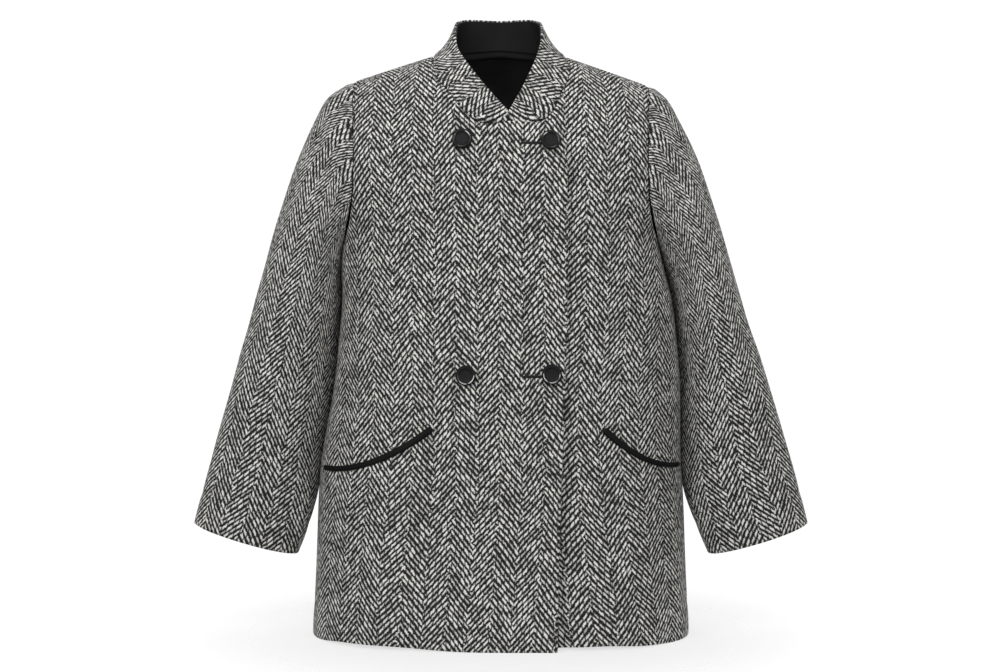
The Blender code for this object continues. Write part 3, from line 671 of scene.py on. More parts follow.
# Herringbone: slanting lines that lean the other way in every second column. Columns meet along a ragged
# line and their lines are not quite in step. Every line is a row of separate floats with rounded ends, each
# of its own place, thickness and brightness, with fuzz over all of it.
def tweedMaterial():
    material, wire, shader = newMaterial(tweed["name"], tweed["fixed"])
    half = tweed["halfColumn"]
    cloth, across, up = wire.weave()
    apart = wire.make("ShaderNodeVectorMath", {"operation": "ADD"}, {0: cloth, 1: tweed["apart"]})
    across = across.waver(cloth, tweed["waverAcross"]) - tweed["columnShift"]
    up = up.waver(apart, tweed["waverUp"])
    row = (up / tweed["ragHeight"]).math("FLOOR")
    rough = across + (wire.chance(row, (across / half + 0.5).math("FLOOR")) - 0.5) * tweed["rag"]
    column = (rough / half).math("FLOOR")
    inColumn = across - column * half
    odd = (column * 0.5).math("FRACT") * 2
    zigzag = inColumn + odd * (half - inColumn * 2)
    step = wire.chance(column, 0.5)
    phase = (up * (step * tweed["stray"] + 1) + zigzag * tweed["slope"]) / tweed["pitch"] + step * 5
    line = phase.math("FLOOR")
    place = across / tweed["float"] + wire.chance(line, column) * 7.3
    cell = place.math("FLOOR")
    tone = wire.chance(line + 0.5, cell)
    shift = wire.chance(line + 91.5, cell)
    middle = ((phase - line) + (shift - 0.5) * tweed["wander"]).peak()
    fuzz = cloth.noise(tweed["fuzz"], 2.0, 0.6)
    slub = apart.noise(tweed["slub"], 1.0)
    shape = middle - 0.6 + (fuzz - 0.5) * 0.6 + (slub - 0.5) * 0.9 + tone * 0.2
    cover = shape.step(*tweed["edge"]) * ((place - cell).peak().step(*tweed["ends"]) * 0.9 + 0.1)
    bright = cover * (tone * 0.5 + 0.6) * (fuzz + 0.55)
    fleck = apart.noise(tweed["fleck"], 1.0).step(*tweed["fleckEdge"]) * tweed["fleckLight"]
    height = cover * (0.6 + tone * 0.4) + fuzz * 0.5
    finishShader(shader, tweed, bright + fleck, 1 - cover * 0.1, height)
    return material


lining = {
    "name": "blackLining", "twill": 0.0011, "cloud": 35,
    "dark": (0.003, 0.003, 0.0032, 1), "light": (0.018, 0.018, 0.0185, 1), "bump": (0.25, 0.0003),
    "fixed": {"Sheen Weight": 0.02, "Specular IOR Level": 0.15},
}
# Copy of the lining with a lighter tone: painted light that lifts the deep shade inside the back under the
# collar
paintedLighterLining = {**lining, "name": "blackLiningPaintedLighter", "light": (0.048, 0.048, 0.049, 1)}


# Lining: fine twill lines, a little cloudy
def liningMaterial(look):
    material, wire, shader = newMaterial(look["name"], look["fixed"])
    cloth, across, up = wire.weave()
    twill = ((across + up) / look["twill"]).math("FRACT")
    cloud = cloth.noise(look["cloud"], 3.0)
    finishShader(shader, look, cloud * 0.7 + twill * 0.3, 0.5 + cloud * 0.2, twill + cloud)
    return material


piping = {
    "name": "blackPiping", "grain": 900, "rub": 60,
    "dark": (0.003, 0.003, 0.0032, 1), "light": (0.010, 0.010, 0.0108, 1), "bump": (0.35, 0.0004),
    "fixed": {"Specular IOR Level": 0.12},
}


# Piping: grained black strip, duller where it is rubbed
def pipingMaterial():
    material, wire, shader = newMaterial(piping["name"], piping["fixed"])
    place = wire.place()
    grain = place.noise(piping["grain"], 3.0, 0.6)
    finishShader(shader, piping, grain, 0.42 + place.noise(piping["rub"], 2.0) * 0.3, grain)
    return material


buttonFinish = {
    "name": "blackButton", "upright": (1, 0, 0.08), "streak": 1500,
    "dish": (0.0090, 0.0094), "beadInner": (0.0091, 0.0094), "beadOuter": (0.0106, 0.0110),
    "dark": (0.005, 0.005, 0.0055, 1), "light": (0.022, 0.022, 0.0225, 1), "bump": (0.1, 0.0002),
    "fixed": {"Specular IOR Level": 0.15, "Coat Roughness": 0.12, "Coat IOR": 2.0},
}


# Buttons: dull black with faint upright streaks in the dish, and a polished bead between it and the rim.
# Their weave runs by the distance from the middle.
def buttonMaterial():
    material, wire, shader = newMaterial(buttonFinish["name"], buttonFinish["fixed"])
    upright = wire.make("ShaderNodeVectorMath", {"operation": "MULTIPLY"},
                        {0: wire.place(), 1: buttonFinish["upright"]})
    radius = wire.weave()[1]
    streak = upright.noise(buttonFinish["streak"], 2.0)
    dish = 1 - radius.step(*buttonFinish["dish"])
    bead = radius.step(*buttonFinish["beadInner"]) * (1 - radius.step(*buttonFinish["beadOuter"]))
    finishShader(shader, buttonFinish, streak * dish, 0.34 + dish * 0.16 + streak * 0.1, streak)
    feed(bead, shader, "Coat Weight")
    return material


thread = {
    "name": "blackThread", "stitch": 0.0008, "fuzz": 1500,
    "dark": (0.006, 0.006, 0.006, 1), "light": (0.03, 0.03, 0.03, 1), "bump": (0.6, 0.0004),
    "fixed": {"Sheen Weight": 0.1, "Specular IOR Level": 0.3},
}


# Buttonhole silk: close stitches across the edge, dark between them
def threadMaterial():
    material, wire, shader = newMaterial(thread["name"], thread["fixed"])
    place, along = wire.weave()[:2]
    stitch = (along / thread["stitch"]).math("FRACT").peak()
    fuzz = place.noise(thread["fuzz"], 2.0)
    finishShader(shader, thread, stitch * (0.5 + fuzz * 0.5), 0.9 - stitch * 0.2, stitch + fuzz * 0.3)
    return material


tweedCloth = tweedMaterial()
liningCloth = liningMaterial(lining)
# lining copy painted lighter against the shade inside the back
paintedLighterBackLining = liningMaterial(paintedLighterLining)
pipingStrip = pipingMaterial()
buttonBlack = buttonMaterial()
threadBlack = threadMaterial()
print("materials made")


# Fronts and back

panel = {
    "shoulderColumns": 22, "neckColumns": 36, "edgeColumns": 14, "cornerColumns": 20, "backNeckColumns": 60,
    "bodyRows": 100, "armholeRows": 64, "seamFade": 6, "facingWidth": 0.085,
}


# Grid of x and z from the hem to a panel's top outline. Below the underarm a row is level; above it rows
# close up evenly to the outline, pulled in along the armholes.
def panelRows(place, topX, topZ, levelX, reach):
    low = np.linspace(hem, underarm, panel["bodyRows"] + 1)
    share = armholeShares(panel["armholeRows"])[1:]
    lowX = np.stack([levelX(place, z) for z in low], axis=1)
    start = lowX[:, -1:]
    highX = start + (topX[:, None] - start) * share
    highZ = underarm + (topZ[:, None] - underarm) * share
    for weight, column in reach:
        arm = np.sign(topX[column]) * armholeEdge(panel["armholeRows"])[1:]
        highX = highX + weight[:, None] * (arm - highX[column])
    lowZ = np.broadcast_to(low, lowX.shape)
    return np.concatenate([lowX, highX], axis=1), np.concatenate([lowZ, highZ], axis=1)


# Groove of a seam by the distance from it: a dip at the seam and a faint swell over the seam allowance
def seamGroove(distance):
    swell = body["swell"] * bell(distance - body["swellPlace"], body["swellWidth"])
    return swell - body["grooveDepth"] * bell(distance, body["grooveWidth"])


# Faint trough where the hem's turned edge is caught, and the rounder cloth below it
def hemRise(fromHem):
    swell = bell(fromHem - body["hemSwellPlace"], body["hemSwellWidth"])
    return body["hemSwell"] * (swell - bell(fromHem - body["hemTurn"], body["hemTrough"]))


# Sets the rims of a panel square to the plane of the side and shoulder seams
def squareSeams(out, sideColumns, shoulderColumns):
    out[sideColumns, :panel["bodyRows"] + 1, 1] = 0
    out[shoulderColumns, -1, 1] = 0
    return unit(out)


# Hides the solid that a sheet of cloth stands for, and prints that the sheet is made
def declareSheet(piece, node):
    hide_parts(node)
    print(piece.name, "made")


# Tweed wall on a grid and its directions out: the face is moved by rise, and lined where inside is true.
# Along the first row the inside comes down by tuck.
def tweedPiece(name, grid, out, rise, weave, roll, inside, tuck=0, wrap=False):
    inner = grid - wall * out
    inner[:, 0, 2] -= tuck
    return clothWall(name, grid + rise[..., None] * out, inner, weave, roll, inside,
                     [tweedCloth, liningCloth], wrap)


liningWall = {"skin": 0.0005, "thickness": 0.001}


# Lining inside part of a tweed wall
def liningPiece(name, grid, out, part, material):
    outer = (grid - (wall + liningWall["skin"]) * out)[part]
    inner = (grid - (wall + liningWall["skin"] + liningWall["thickness"]) * out)[part]
    weave = np.stack([runLength(outer, 0), runLength(outer, 1)], axis=2)
    none = np.zeros(outer.shape[:2])
    return clothWall(name, outer, inner, weave, none, none > 0, [material])


# Top outline of a front from the sleeve to the free edge, counted towards its own side
def frontOutline(side):
    neckX, neckZ = frontNeckline(side, panel["neckColumns"])
    shoulder = np.linspace(side * body["shoulderTip"], neckX[-1], panel["shoulderColumns"] + 1)[:-1]
    share = np.arange(1, panel["edgeColumns"] + 1) / panel["edgeColumns"]
    dip = overlap["topDip"] if side < 0 else overlap["underDip"]
    neckA = side * neckX[::-1]
    edgeA = neckA[-1] + (side * overlap["closing"] - overlap["topEdge"] - neckA[-1]) * share
    edgeZ = neckZ[0] - dip * softStep(share)
    turn = np.arange(1, panel["cornerColumns"] + 1) / panel["cornerColumns"] * np.pi / 2
    cornerA = edgeA[-1] - overlap["cornerWidth"] * np.sin(turn)
    cornerZ = edgeZ[-1] - overlap["cornerHeight"] * (1 - np.cos(turn))
    a = np.concatenate([side * shoulder, neckA, edgeA, cornerA])
    z = np.concatenate([shoulderLine(shoulder), neckZ[::-1], edgeZ, cornerZ])
    return a, z


def makeFront(name, node, side):
    topA, topZ = frontOutline(side)
    place = np.linspace(0, 1, len(topA))

    def levelA(share, z):
        width = halfWidth(side, z)
        last = np.arccos(signedPower(freeEdge(side, z) / width, body["fullness"] / 2))
        return width * signedPower(np.cos(share * last), 2 / body["fullness"])

    a, z = panelRows(place, topA, topZ, levelA, [((1 - place) ** 2, 0)])
    x = side * a
    z = z + hemLift(side, x, z)
    grid = np.stack([x, frontFace(side, x, z), z], axis=2)
    weave = np.stack([grainAcross(frontForm, x, z), grainUp(frontForm, x, z)], axis=2)
    weave = turnGrain(side, x, z, weave)
    seamColumns = panel["shoulderColumns"] + panel["neckColumns"]
    order = np.arange(len(a))
    fromSide = runLength(grid, 0)
    up = runLength(grid, 1)
    fromTop = up[:, -1:] - up + softStep((order - seamColumns) / panel["seamFade"])[:, None]
    toEdge = fromSide[-1:] - fromSide
    rise = seamGroove(np.minimum(fromSide, fromTop)) + hemRise(up)
    inside = (z > hem + body["hemTurn"]) & (toEdge > panel["facingWidth"])
    # both fronts run from the wearer's right to the left
    grid, weave, rise, inside, order = (item[::-side] for item in (grid, weave, rise, inside, order))
    out = squareSeams(outward(grid), order[:1], order[:panel["shoulderColumns"] + 1])
    roll = np.zeros(grid.shape[:2])
    roll[:, 0] = body["edgeRoll"]
    roll[order[-1]] = body["edgeRoll"]
    roll[order[seamColumns + 1:], -1] = body["edgeRoll"]
    piece = tweedPiece(name, grid, out, rise, weave, roll, inside)
    declareSheet(piece, node)


# The back's outer points and the directions of its wall
def backGrid():
    neckX, neckZ = backNeckline(panel["backNeckColumns"])
    right = np.linspace(-body["shoulderTip"], neckX[0], panel["shoulderColumns"] + 1)[:-1]
    left = np.linspace(neckX[-1], body["shoulderTip"], panel["shoulderColumns"] + 1)[1:]
    topX = np.concatenate([right, neckX, left])
    topZ = np.concatenate([shoulderLine(right), neckZ, shoulderLine(left)])
    place = np.linspace(0, 1, len(topX))

    def levelX(share, z):
        across = -np.cos(np.pi * share)
        return halfWidth(across, z) * signedPower(across, 2 / body["fullness"])

    reach = [(np.clip(1 - 2 * place, 0, 1) ** 2, 0), (np.clip(2 * place - 1, 0, 1) ** 2, len(place) - 1)]
    x, z = panelRows(place, topX, topZ, levelX, reach)
    x, z = x[::-1], z[::-1]
    grid = np.stack([x, backFace(x, z), z], axis=2)
    last = len(grid) - 1
    shoulder = np.arange(panel["shoulderColumns"] + 1)
    return grid, squareSeams(outward(grid), [0, last], np.concatenate([shoulder, last - shoulder]))


def makeBack(name, node):
    grid, out = backGrid()
    x, z = grid[..., 0], grid[..., 2]
    weave = np.stack([-grainAcross(backForm, x, z), grainUp(backForm, x, z)], axis=2)
    fromSide = runLength(grid, 0)
    up = runLength(grid, 1)
    nearest = np.minimum(np.minimum(fromSide, fromSide[-1:] - fromSide), up[:, -1:] - up)
    rise = seamGroove(nearest) + hemRise(up)
    roll = np.zeros(grid.shape[:2])
    roll[:, 0] = body["edgeRoll"]
    piece = tweedPiece(name, grid, out, rise, weave, roll, z > hem + body["hemTurn"])
    declareSheet(piece, node)


backLining = {"armholeShare": 0.32, "inset": 3}


# Lining on the inside of the back, under the collar, in the copy of the lining painted lighter to lift the
# shade that falls there
def makeBackLining(name, node):
    grid, out = backGrid()
    first = panel["shoulderColumns"] + backLining["inset"]
    lowest = panel["bodyRows"] + int(backLining["armholeShare"] * panel["armholeRows"])
    part = (slice(first, len(grid) - first), slice(lowest, None))
    piece = liningPiece(name, grid, out, part, paintedLighterBackLining)
    declareSheet(piece, node)


makeBack("backCloth", "back")
makeFront("rightFrontCloth", "right_front", -1)
makeFront("leftFrontCloth", "left_front", 1)
makeBackLining("backLining", "back_lining")


# Sleeves

sleeveForm = {
    "share": [0.00, 0.04, 0.08, 0.14, 0.22, 0.34, 0.50, 0.67, 0.84, 1.00],
    "outerX": [0.1900, 0.2050, 0.2185, 0.2347, 0.2568, 0.2825, 0.3116, 0.3415, 0.3710, 0.3955],
    "outerZ": [-0.0397, -0.0480, -0.0590, -0.0871, -0.1350, -0.2100, -0.3100, -0.4100, -0.5120, -0.6060],
    "innerZ": [-0.2500, -0.2580, -0.2680, -0.2850, -0.3120, -0.3550, -0.4200, -0.4950, -0.5715, -0.6460],
    "halfDepth": [0.085, 0.084, 0.083, 0.082, 0.081, 0.078, 0.072, 0.064, 0.056, 0.048],
    "middleY": [0.000, 0.000, 0.000, -0.001, -0.002, -0.004, -0.008, -0.014, -0.021, -0.029],
}
sleeveInner = {
    "height": [-0.651, -0.594, -0.573, -0.556, -0.545],
    "halfWidth": [0.2665, 0.2450, 0.2390, 0.2360, 0.2347],
}
sleeve = {
    "columns": 128, "rings": 150, "ringSpread": 1.25, "capShare": 0.45, "seamSkin": 0.0005, "cuffTurn": 0.035,
    "clear": 0.0002, "leaves": -0.545, "innerBack": 0.028, "backStart": 0.20, "backFade": 0.30,
    "lean": 0.004, "leanStart": 0.10, "leanFade": 0.40, "leanEnd": 0.80, "cuffSwing": 0.0028,
    "uneven": 0.0006, "unevenAround": (0.2, 0.3), "creaseStart": 0.05, "plainInside": 25,
}

# Large folds: share along, angle from the outer line by the front, half spans, slant, rise
sleeveFolds = [
    (0.20, 120, 0.030, 40, 0.0010, -0.0030),
    (0.42, 135, 0.035, 50, 0.0008, -0.0035),
    (0.52, 150, 0.035, 55, -0.0006, -0.0040),
    (0.60, 60, 0.050, 50, 0.0005, -0.0025),
    (0.48, 250, 0.040, 50, 0.0006, -0.0035),
    (0.72, 210, 0.045, 45, -0.0008, -0.0030),
]

# Finer creases: from angle/1000, from share, to angle/1000, to share, half width, rise, bow
sleeveCreases = [
    (0.030, 0.10, 0.110, 0.26, 0.018, -0.0016, 0.010),
    (0.060, 0.06, 0.140, 0.20, 0.015, -0.0013, -0.006),
    (0.040, 0.52, 0.150, 0.46, 0.016, -0.0016, 0.008),
    (0.060, 0.64, 0.165, 0.57, 0.015, -0.0014, -0.008),
    (0.020, 0.80, 0.110, 0.72, 0.014, -0.0012, 0.006),
    (0.075, 0.70, 0.080, 0.96, 0.016, 0.0010, 0.004),
    (0.200, 0.50, 0.320, 0.44, 0.018, -0.0018, -0.008),
    (0.215, 0.60, 0.330, 0.66, 0.016, -0.0015, 0.008),
    (0.230, 0.16, 0.310, 0.34, 0.018, -0.0016, 0.008),
    (0.250, 0.78, 0.340, 0.84, 0.015, -0.0012, -0.005),
]


# Edge of an armhole from the shoulder down the front and up the back, counted towards its own side
def armholeLoop(side, rows):
    edge = armholeEdge(rows)
    top = shoulderLine(side * body["shoulderTip"])
    height = underarm + (top - underarm) * armholeShares(rows)
    front = np.stack([edge, frontForm(side * edge, height), height], axis=1)[::-1]
    back = np.stack([edge, backForm(side * edge, height), height], axis=1)
    loop = np.concatenate([front, back[1:-1]])
    loop[[0, rows], 1] = 0
    loop[:, 0] += sleeve["seamSkin"]
    return loop


# Rings from the armhole to the cuff: each an ellipse from its outer to its inner end, the first ones drawn
# to the armhole, then moved out by the folds and creases, which fade on the inner side
def sleeveGrid(side):
    share = (np.arange(sleeve["rings"] + 1) / sleeve["rings"]) ** sleeve["ringSpread"]
    fade = (sleeve["leanEnd"] - share) / (sleeve["leanEnd"] - sleeve["leanFade"])
    lean = softStep(share / sleeve["leanStart"]) * softStep(fade)
    outerX = curve(sleeveForm, "outerX", share) - side * sleeve["lean"] * lean
    outerZ = curve(sleeveForm, "outerZ", share)
    innerZ = curve(sleeveForm, "innerZ", share)
    beside = halfWidth(side, np.minimum(innerZ, underarm)) + sleeve["clear"]
    away = np.maximum(curve(sleeveInner, "halfWidth", innerZ), beside)
    swing = softStep((share - sleeve["leanEnd"]) / (1 - sleeve["leanEnd"]))
    innerX = np.where(innerZ > sleeve["leaves"], beside, away) + side * sleeve["cuffSwing"] * swing
    rows = sleeve["columns"] // 2
    angle = np.pi * np.arange(sleeve["columns"])[:, None] / rows
    x = (outerX + innerX) / 2 + (outerX - innerX) / 2 * np.cos(angle)
    z = (outerZ + innerZ) / 2 + (outerZ - innerZ) / 2 * np.cos(angle)
    y = curve(sleeveForm, "middleY", share) - curve(sleeveForm, "halfDepth", share) * np.sin(angle)
    back = softStep(share / sleeve["backStart"]) * softStep((1 - share) / sleeve["backFade"])
    y = y + sleeve["innerBack"] * back * ((1 - np.cos(angle)) / 2) ** 2
    grid = np.stack([x, y, z], axis=2)
    cap = np.clip(1 - share / sleeve["capShare"], 0, 1) ** 2
    grid = grid + cap[None, :, None] * (armholeLoop(side, rows) - grid[:, 0])[:, None, :]
    turn = np.degrees(angle)
    fine = creaseRise(sleeveCreases, turn / 1000, share)
    level, upright = sleeve["unevenAround"]
    fine = fine + uneven(level * np.cos(angle) + side, share + upright * np.sin(angle), sleeve["uneven"])
    rise = fine * softStep(share / sleeve["creaseStart"])
    for at, middle, along, around, slant, height in sleeveFolds:
        away = (turn - middle + 180) % 360 - 180
        rise = rise + height * bell(share - at - slant * away, along) * bell(away, around)
    rise = rise * (1 - bell(turn - 180, sleeve["plainInside"]))
    return grid + rise[..., None] * outward(grid, wrap=True)


def makeSleeve(name, node, side):
    grid = sleeveGrid(side)
    closed = np.concatenate([grid, grid[:1]])
    around = runLength(closed, 0)
    along = runLength(closed, 1)
    seamColumn = sleeve["columns"] // 2
    u = around - around[seamColumn // 2]
    afterSeam = np.arange(len(closed)) > seamColumn
    u = np.where(afterSeam[:, None], u - around[-1:], u)
    weave = np.stack([u, along[:, -1:] - along], axis=2)
    # the column on the inner seam has two places in the weave, so the grid starts there
    grid = np.roll(grid, -seamColumn, axis=0)
    wrapWeave = np.concatenate([weave[seamColumn + 1:-1], weave[:seamColumn + 1]])
    firstWeave = wrapWeave[:1] - (wrapWeave[1:2] - wrapWeave[:1])
    weave = np.concatenate([firstWeave, wrapWeave])
    fromArmhole = runLength(grid, 1)
    fromCuff = fromArmhole[:, -1:] - fromArmhole
    rise = seamGroove(fromArmhole) + hemRise(fromCuff)
    grid, weave, rise, fromCuff = (item[::side] for item in (grid, weave, rise, fromCuff))
    grid = grid * np.array([side, 1, 1])
    roll = np.zeros(grid.shape[:2])
    roll[:, -1] = body["edgeRoll"]
    piece = tweedPiece(name, grid, outward(grid, wrap=True), rise, weave, roll, fromCuff > sleeve["cuffTurn"],
                       wrap=True)
    declareSheet(piece, node)


makeSleeve("rightSleeveCloth", "right_sleeve", -1)
makeSleeve("leftSleeveCloth", "left_sleeve", 1)


# Collar and its facing

collarEdge = {
    "share": [0.00, 0.16, 0.30, 0.46, 0.66, 1.00, 1.50, 2.00],
    "halfWidth": [0.0005, 0.0100, 0.0240, 0.0390, 0.0515, 0.0570, 0.0475, 0.0000],
    "height": [-0.0850, -0.0710, -0.0510, -0.0265, -0.0030, 0.0275, 0.0425, 0.0433],
    "depth": [-0.1085, -0.0990, -0.0860, -0.0660, -0.0400, -0.0080, 0.0330, 0.0500],
    "bulge": [0.0000, 0.0010, 0.0020, 0.0010, -0.0010, -0.0025, -0.0010, 0.0010],
}
collar = {
    "rows": 26, "seamSkin": 0.0005, "tuck": 0.004, "tuckStart": 0.3,
    "uneven": 0.0005, "unevenRun": (2, 3), "facingRow": 4, "facingInset": 2,
}


# Free edge of the collar on the given side, by its station: 0 at the closing, 2 at the nape
def collarLine(side, station):
    z = curve(collarEdge, "height", station)
    x = neckMiddle(z) + side * curve(collarEdge, "halfWidth", station)
    return np.stack([x, curve(collarEdge, "depth", station), z], axis=1)


# Band from the neck seam to the free edge, slightly rounded, from the wearer's left end to the right end
def collarGrid():
    share = np.linspace(0, 1, panel["neckColumns"] + 1)
    seams = {}
    edges = {}
    for side in (-1, 1):
        x, z = frontNeckline(side, panel["neckColumns"])
        seams[side] = np.stack([x, frontForm(x, z), z], axis=1)
        edges[side] = collarLine(side, share)
    for line in (seams[1], edges[1]):
        line[:, 1] += underPress(line[:, 0], line[:, 2])
    x, z = backNeckline(panel["backNeckColumns"])
    seams[0] = np.stack([x, backForm(x, z), z], axis=1)[1:-1]
    run = np.linspace(-1, 1, panel["backNeckColumns"] + 1)[1:-1]
    edges[0] = collarLine(np.sign(run), 2 - np.abs(run))
    seam = np.concatenate([seams[-1], seams[0], seams[1][::-1]])[::-1]
    edge = np.concatenate([edges[-1], edges[0], edges[1][::-1]])[::-1]
    seam[:, 2] += collar["seamSkin"]
    across = np.linspace(0, 1, collar["rows"] + 1)[None, :, None]
    flat = seam[:, None] + (edge - seam)[:, None] * across
    stations = np.concatenate([share, 2 - np.abs(run), share[::-1]])
    bulge = curve(collarEdge, "bulge", stations)[:, None, None] * 4 * across * (1 - across)
    grid = flat + bulge * outward(flat)
    out = outward(grid)
    out[:, 0, 2] = 0
    return grid, unit(out), stations


# The weave is unrolled along the collar's middle row: by the length of that row and the distance from it.
# The collar's inside comes down over the seam behind the neck, where it is tucked.
def makeCollar(name, node):
    grid, out, stations = collarGrid()
    across = runLength(grid, 1)
    middleRow = collar["rows"] // 2
    spine = grid[:, middleRow]
    length = lineLength(spine)[:, None]
    run = unit(np.gradient(spine, axis=0))
    away = grid - spine[:, None]
    slant = (away * run[:, None]).sum(axis=2)
    square = np.sqrt(np.maximum((away ** 2).sum(axis=2) - slant ** 2, 0))
    square = square * np.sign(np.arange(grid.shape[1]) - middleRow)
    weave = np.stack([length + slant, square], axis=2)
    roll = np.full(grid.shape[:2], body["edgeRoll"])
    roll[:, 0] = 0
    runAlong, runAcross = collar["unevenRun"]
    rise = seamGroove(across) + uneven(length * runAlong, across * runAcross, collar["uneven"])
    tuck = collar["tuck"] * softStep((stations - 1) / collar["tuckStart"])
    piece = tweedPiece(name, grid, out, rise, weave, roll, np.ones(grid.shape[:2], bool), tuck)
    declareSheet(piece, node)


def makeFacing(name, node):
    grid, out = collarGrid()[:2]
    inset = collar["facingInset"]
    part = (slice(inset, -inset), slice(collar["facingRow"], None))
    piece = liningPiece(name, grid, out, part, liningCloth)
    declareSheet(piece, node)


makeCollar("collarCloth", "collar")
makeFacing("collarFacing", "collar_facing")
print("cloth pieces made")


# Pieces that lie on the fronts

surfaceStep = 0.0005


# Point of a front at x and z and the direction out of it, from small steps along the surface
def onFront(side, x, z):
    step = surfaceStep
    slopeX = (frontFace(side, x + step, z) - frontFace(side, x - step, z)) / (2 * step)
    slopeZ = (frontFace(side, x, z + step) - frontFace(side, x, z - step)) / (2 * step)
    out = np.stack([slopeX, -np.ones_like(slopeX), slopeZ], axis=-1)
    return np.stack([x, frontFace(side, x, z), z], axis=-1), unit(out)


def fullTurn(count):
    return 2 * np.pi * np.arange(count) / count


# Strip along a line on a front: its rings' points lie wide across the line and high above the cloth
def stripPiece(name, side, x, z, wide, high, around, material, closed=False):
    point, out = onFront(side, x, z)
    run = np.gradient(point, axis=0)
    if closed:
        run[[0, -1]] = run[1] + run[-2]
    across = np.cross(unit(run), out)
    rings = point[:, None] + across[:, None] * wide[..., None] + out[:, None] * high[..., None]
    weave = np.stack(np.broadcast_arrays(lineLength(point)[:, None], around[None]), axis=2)
    return tubePiece(name, rings[:, ::-side], weave, [material])


strip = {
    "steps": 90, "around": 16, "rise": 0.0030, "clear": 0.0004, "squareness": 0.8,
    "endShare": 0.015, "endLeast": 0.04, "weaveRadius": 0.002,
}


# Half-round strip along a pocket mouth, rounded off at its ends
def makePiping(name, pocket):
    share = np.linspace(0, 1, strip["steps"] + 1)
    a = pocket["from"][0] + (pocket["to"][0] - pocket["from"][0]) * share
    width = pocket["width"][0] + (pocket["width"][1] - pocket["width"][0]) * share
    near = np.clip(np.minimum(share, 1 - share) / strip["endShare"], 0, 1)
    ends = np.sqrt(np.maximum(1 - (1 - near) ** 2, strip["endLeast"]))
    angle = fullTurn(strip["around"])
    wide = (width / 2 * ends)[:, None] * signedPower(np.cos(angle), strip["squareness"])
    high = strip["clear"] + strip["rise"] * ends[:, None] * (0.5 + 0.5 * np.sin(angle))
    piece = stripPiece(name, pocket["side"], pocket["side"] * a, mouthHeight(pocket, a)[0], wide, high,
                       angle * strip["weaveRadius"], pipingStrip)
    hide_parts(pocket["node"])


for name, pocket in pockets.items():
    makePiping(name, pocket)

buttons = {
    "buttonUpperRight": ("button_upper_right", -0.0475, -0.1192),
    "buttonUpperLeft": ("button_upper_left", 0.0612, -0.1207),
    "buttonLowerRight": ("button_lower_right", -0.0431, -0.4111),
    "buttonLowerLeft": ("button_lower_left", 0.0629, -0.4098),
}
# Turned outline from the foot of the shank to the middle of the dish
buttonOutline = {
    "radius": [
        0.0001, 0.0040, 0.0040, 0.0060, 0.0105, 0.0119, 0.0125, 0.0126, 0.0123, 0.0118,
        0.0112, 0.0107, 0.0102, 0.0097, 0.0094, 0.0092, 0.0090, 0.0060, 0.0030, 0.0001,
    ],
    "height": [
        0.0000, 0.0000, 0.0022, 0.0025, 0.0026, 0.0030, 0.0038, 0.0047, 0.0056, 0.0062,
        0.0064, 0.00624, 0.00608, 0.00592, 0.00582, 0.0054, 0.0047, 0.0045, 0.0043, 0.0043,
    ],
}
buttonSides = 64


# A button is its outline turned about the direction out of the cloth
def makeButton(name, node, x, z):
    point, out = onFront(-1, np.array(x), np.array(z))
    level = unit(np.cross(out, [0, 0, 1]))
    upright = np.cross(level, out)
    radius = np.array(buttonOutline["radius"])
    height = np.array(buttonOutline["height"]) + body["seam"]
    angle = fullTurn(buttonSides)
    spokes = np.cos(angle)[:, None] * level + np.sin(angle)[:, None] * upright
    rings = point + radius[:, None, None] * spokes + height[:, None, None] * out
    weave = np.stack(np.broadcast_arrays(radius[:, None], angle[None]), axis=2)
    piece = tubePiece(name, rings[:, ::-1], weave, [buttonBlack])
    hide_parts(node)


for name, (node, x, z) in buttons.items():
    makeButton(name, node, x, z)

# Buttonholes: from x, to x, height
buttonholes = {
    "upperButtonhole": (0.0270, 0.0700, -0.1235),
    "lowerButtonhole": (0.0270, 0.0695, -0.4125),
}
silk = {
    "steps": 120, "around": 10, "halfGap": 0.0008, "radius": 0.0007, "flatness": 1.3, "lift": 0.0003,
    "endPower": 0.35, "sidePower": 0.6,
}


# Edge of a buttonhole: silk round a narrow slit with rounded ends
def makeButtonhole(name, fromX, toX, z):
    turn = np.append(fullTurn(silk["steps"]), 2 * np.pi)
    x = (fromX + toX) / 2 + (toX - fromX) / 2 * signedPower(np.cos(turn), silk["endPower"])
    height = z + silk["halfGap"] * signedPower(np.sin(turn), silk["sidePower"])
    angle = fullTurn(silk["around"])
    wide = silk["flatness"] * silk["radius"] * np.cos(angle)[None]
    high = silk["lift"] + silk["radius"] * np.sin(angle)[None]
    stripPiece(name, -1, x, height, wide, high, angle * silk["radius"], threadBlack, closed=True)


for name, place in buttonholes.items():
    makeButtonhole(name, *place)
print("trim made")


# Studio

studio = {
    "camera": (0.004, -2.6, -0.25), "aim": (0.004, 0.0, -0.368),
    "focalPixels": 2000, "imageWidth": 1008, "sensor": 36.0,
    "floorHeight": -0.7535, "floorSize": 12.0,
    "floorTint": 0.35, "floorLeast": 0.02, "floorFade": (0.78, 0.90),
    "worldFront": 0.12, "worldBack": 1.05, "worldTurn": (-0.1, 0.4),
    "floorFinish": {"Base Color": (0.9, 0.9, 0.9, 1), "Roughness": 0.9, "Specular IOR Level": 0.1},
}
# Soft boxes: place, width, height, power
softBoxes = {
    "keyBox": ((-1.7, -2.4, 0.7), 1.0, 2.2, 36),
    "fillBox": ((0.1, -2.5, 1.1), 1.4, 1.4, 23),
    "sideBox": ((1.8, -2.4, 0.5), 0.8, 2.0, 23),
    "topBox": ((-0.2, -0.3, 2.6), 2.0, 2.0, 10),
}


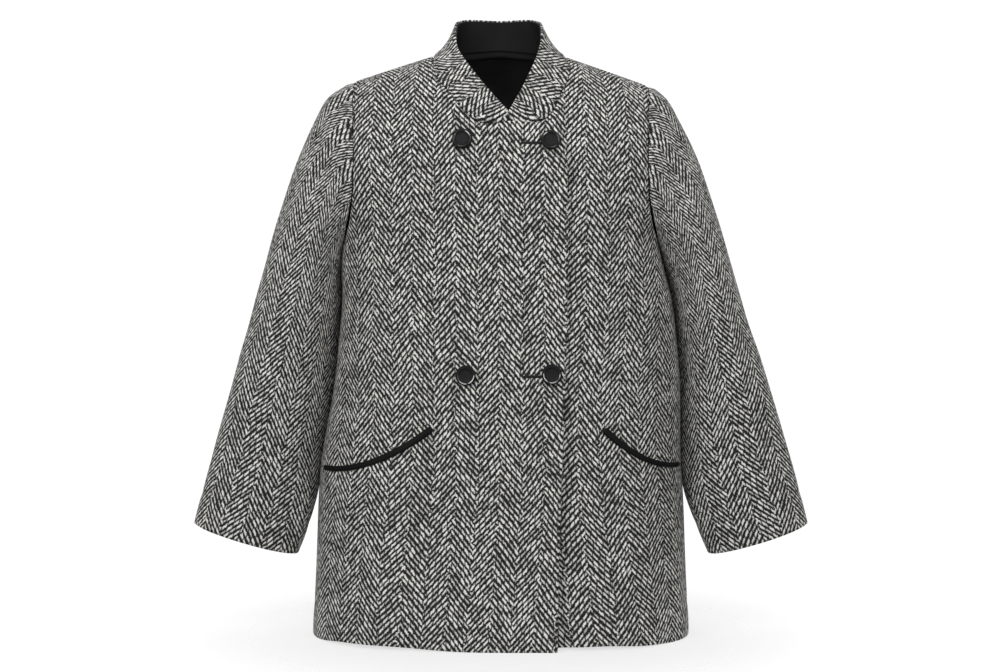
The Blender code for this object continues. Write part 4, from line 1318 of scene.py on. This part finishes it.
# Links a lamp or camera, placed and turned towards the coat
def aimedObject(name, data, place):
    away = np.array(studio["aim"]) - np.array(place)
    rise = math.atan2(away[2], math.hypot(away[0], away[1]))
    item = bpy.data.objects.new(name, data)
    item.location = place
    item.rotation_euler = (math.pi / 2 + rise, 0, math.atan2(-away[0], away[1]))
    bpy.context.scene.collection.objects.link(item)
    return item


# A sheet of clear acrylic over the white backdrop: it shows a shadow close to the coat and fades away from it
def makeFloor():
    half = studio["floorSize"] / 2
    z = studio["floorHeight"]
    mesh = bpy.data.meshes.new("floor")
    corners = [(-half, -half, z), (half, -half, z), (half, half, z), (-half, half, z)]
    mesh.from_pydata(corners, [], [(0, 1, 2, 3)])
    material, wire, shader = newMaterial("paleFloor", studio["floorFinish"])
    away = wire.make("ShaderNodeVectorMath", {"operation": "LENGTH"}, {0: wire.place()}, 1)
    near = 1 - away.step(*studio["floorFade"])
    feed(near * studio["floorTint"] + studio["floorLeast"], shader, "Alpha")
    mesh.materials.append(material)
    floor = bpy.data.objects.new("floor", mesh)
    bpy.context.scene.collection.objects.link(floor)


# A white backdrop behind the coat and a dimmer room in front of it
def makeWorld():
    world = bpy.data.worlds.new("studio")
    world.use_nodes = True
    sky = world.node_tree.nodes["Background"]
    sky.inputs["Color"].default_value = (1, 1, 1, 1)
    start = Wire(world.node_tree)
    direction = start.make("ShaderNodeTexCoord")
    behind = start.make("ShaderNodeSeparateXYZ", None, {"Vector": direction}, 1).step(*studio["worldTurn"])
    span = studio["worldBack"] - studio["worldFront"]
    feed(behind * span + studio["worldFront"], sky, "Strength")
    bpy.context.scene.world = world


def makeLights():
    for name, (place, width, height, power) in softBoxes.items():
        lamp = bpy.data.lights.new(name, "AREA")
        lamp.shape = "RECTANGLE"
        lamp.size = width
        lamp.size_y = height
        lamp.energy = power
        aimedObject(name, lamp, place)


def makeCamera():
    view = bpy.data.cameras.new("camera")
    view.sensor_width = studio["sensor"]
    view.lens = studio["sensor"] * studio["focalPixels"] / studio["imageWidth"]
    bpy.context.scene.camera = aimedObject("camera", view, studio["camera"])
    bpy.context.scene.view_settings.view_transform = "Standard"


makeFloor()
makeWorld()
makeLights()
makeCamera()
print("studio made")
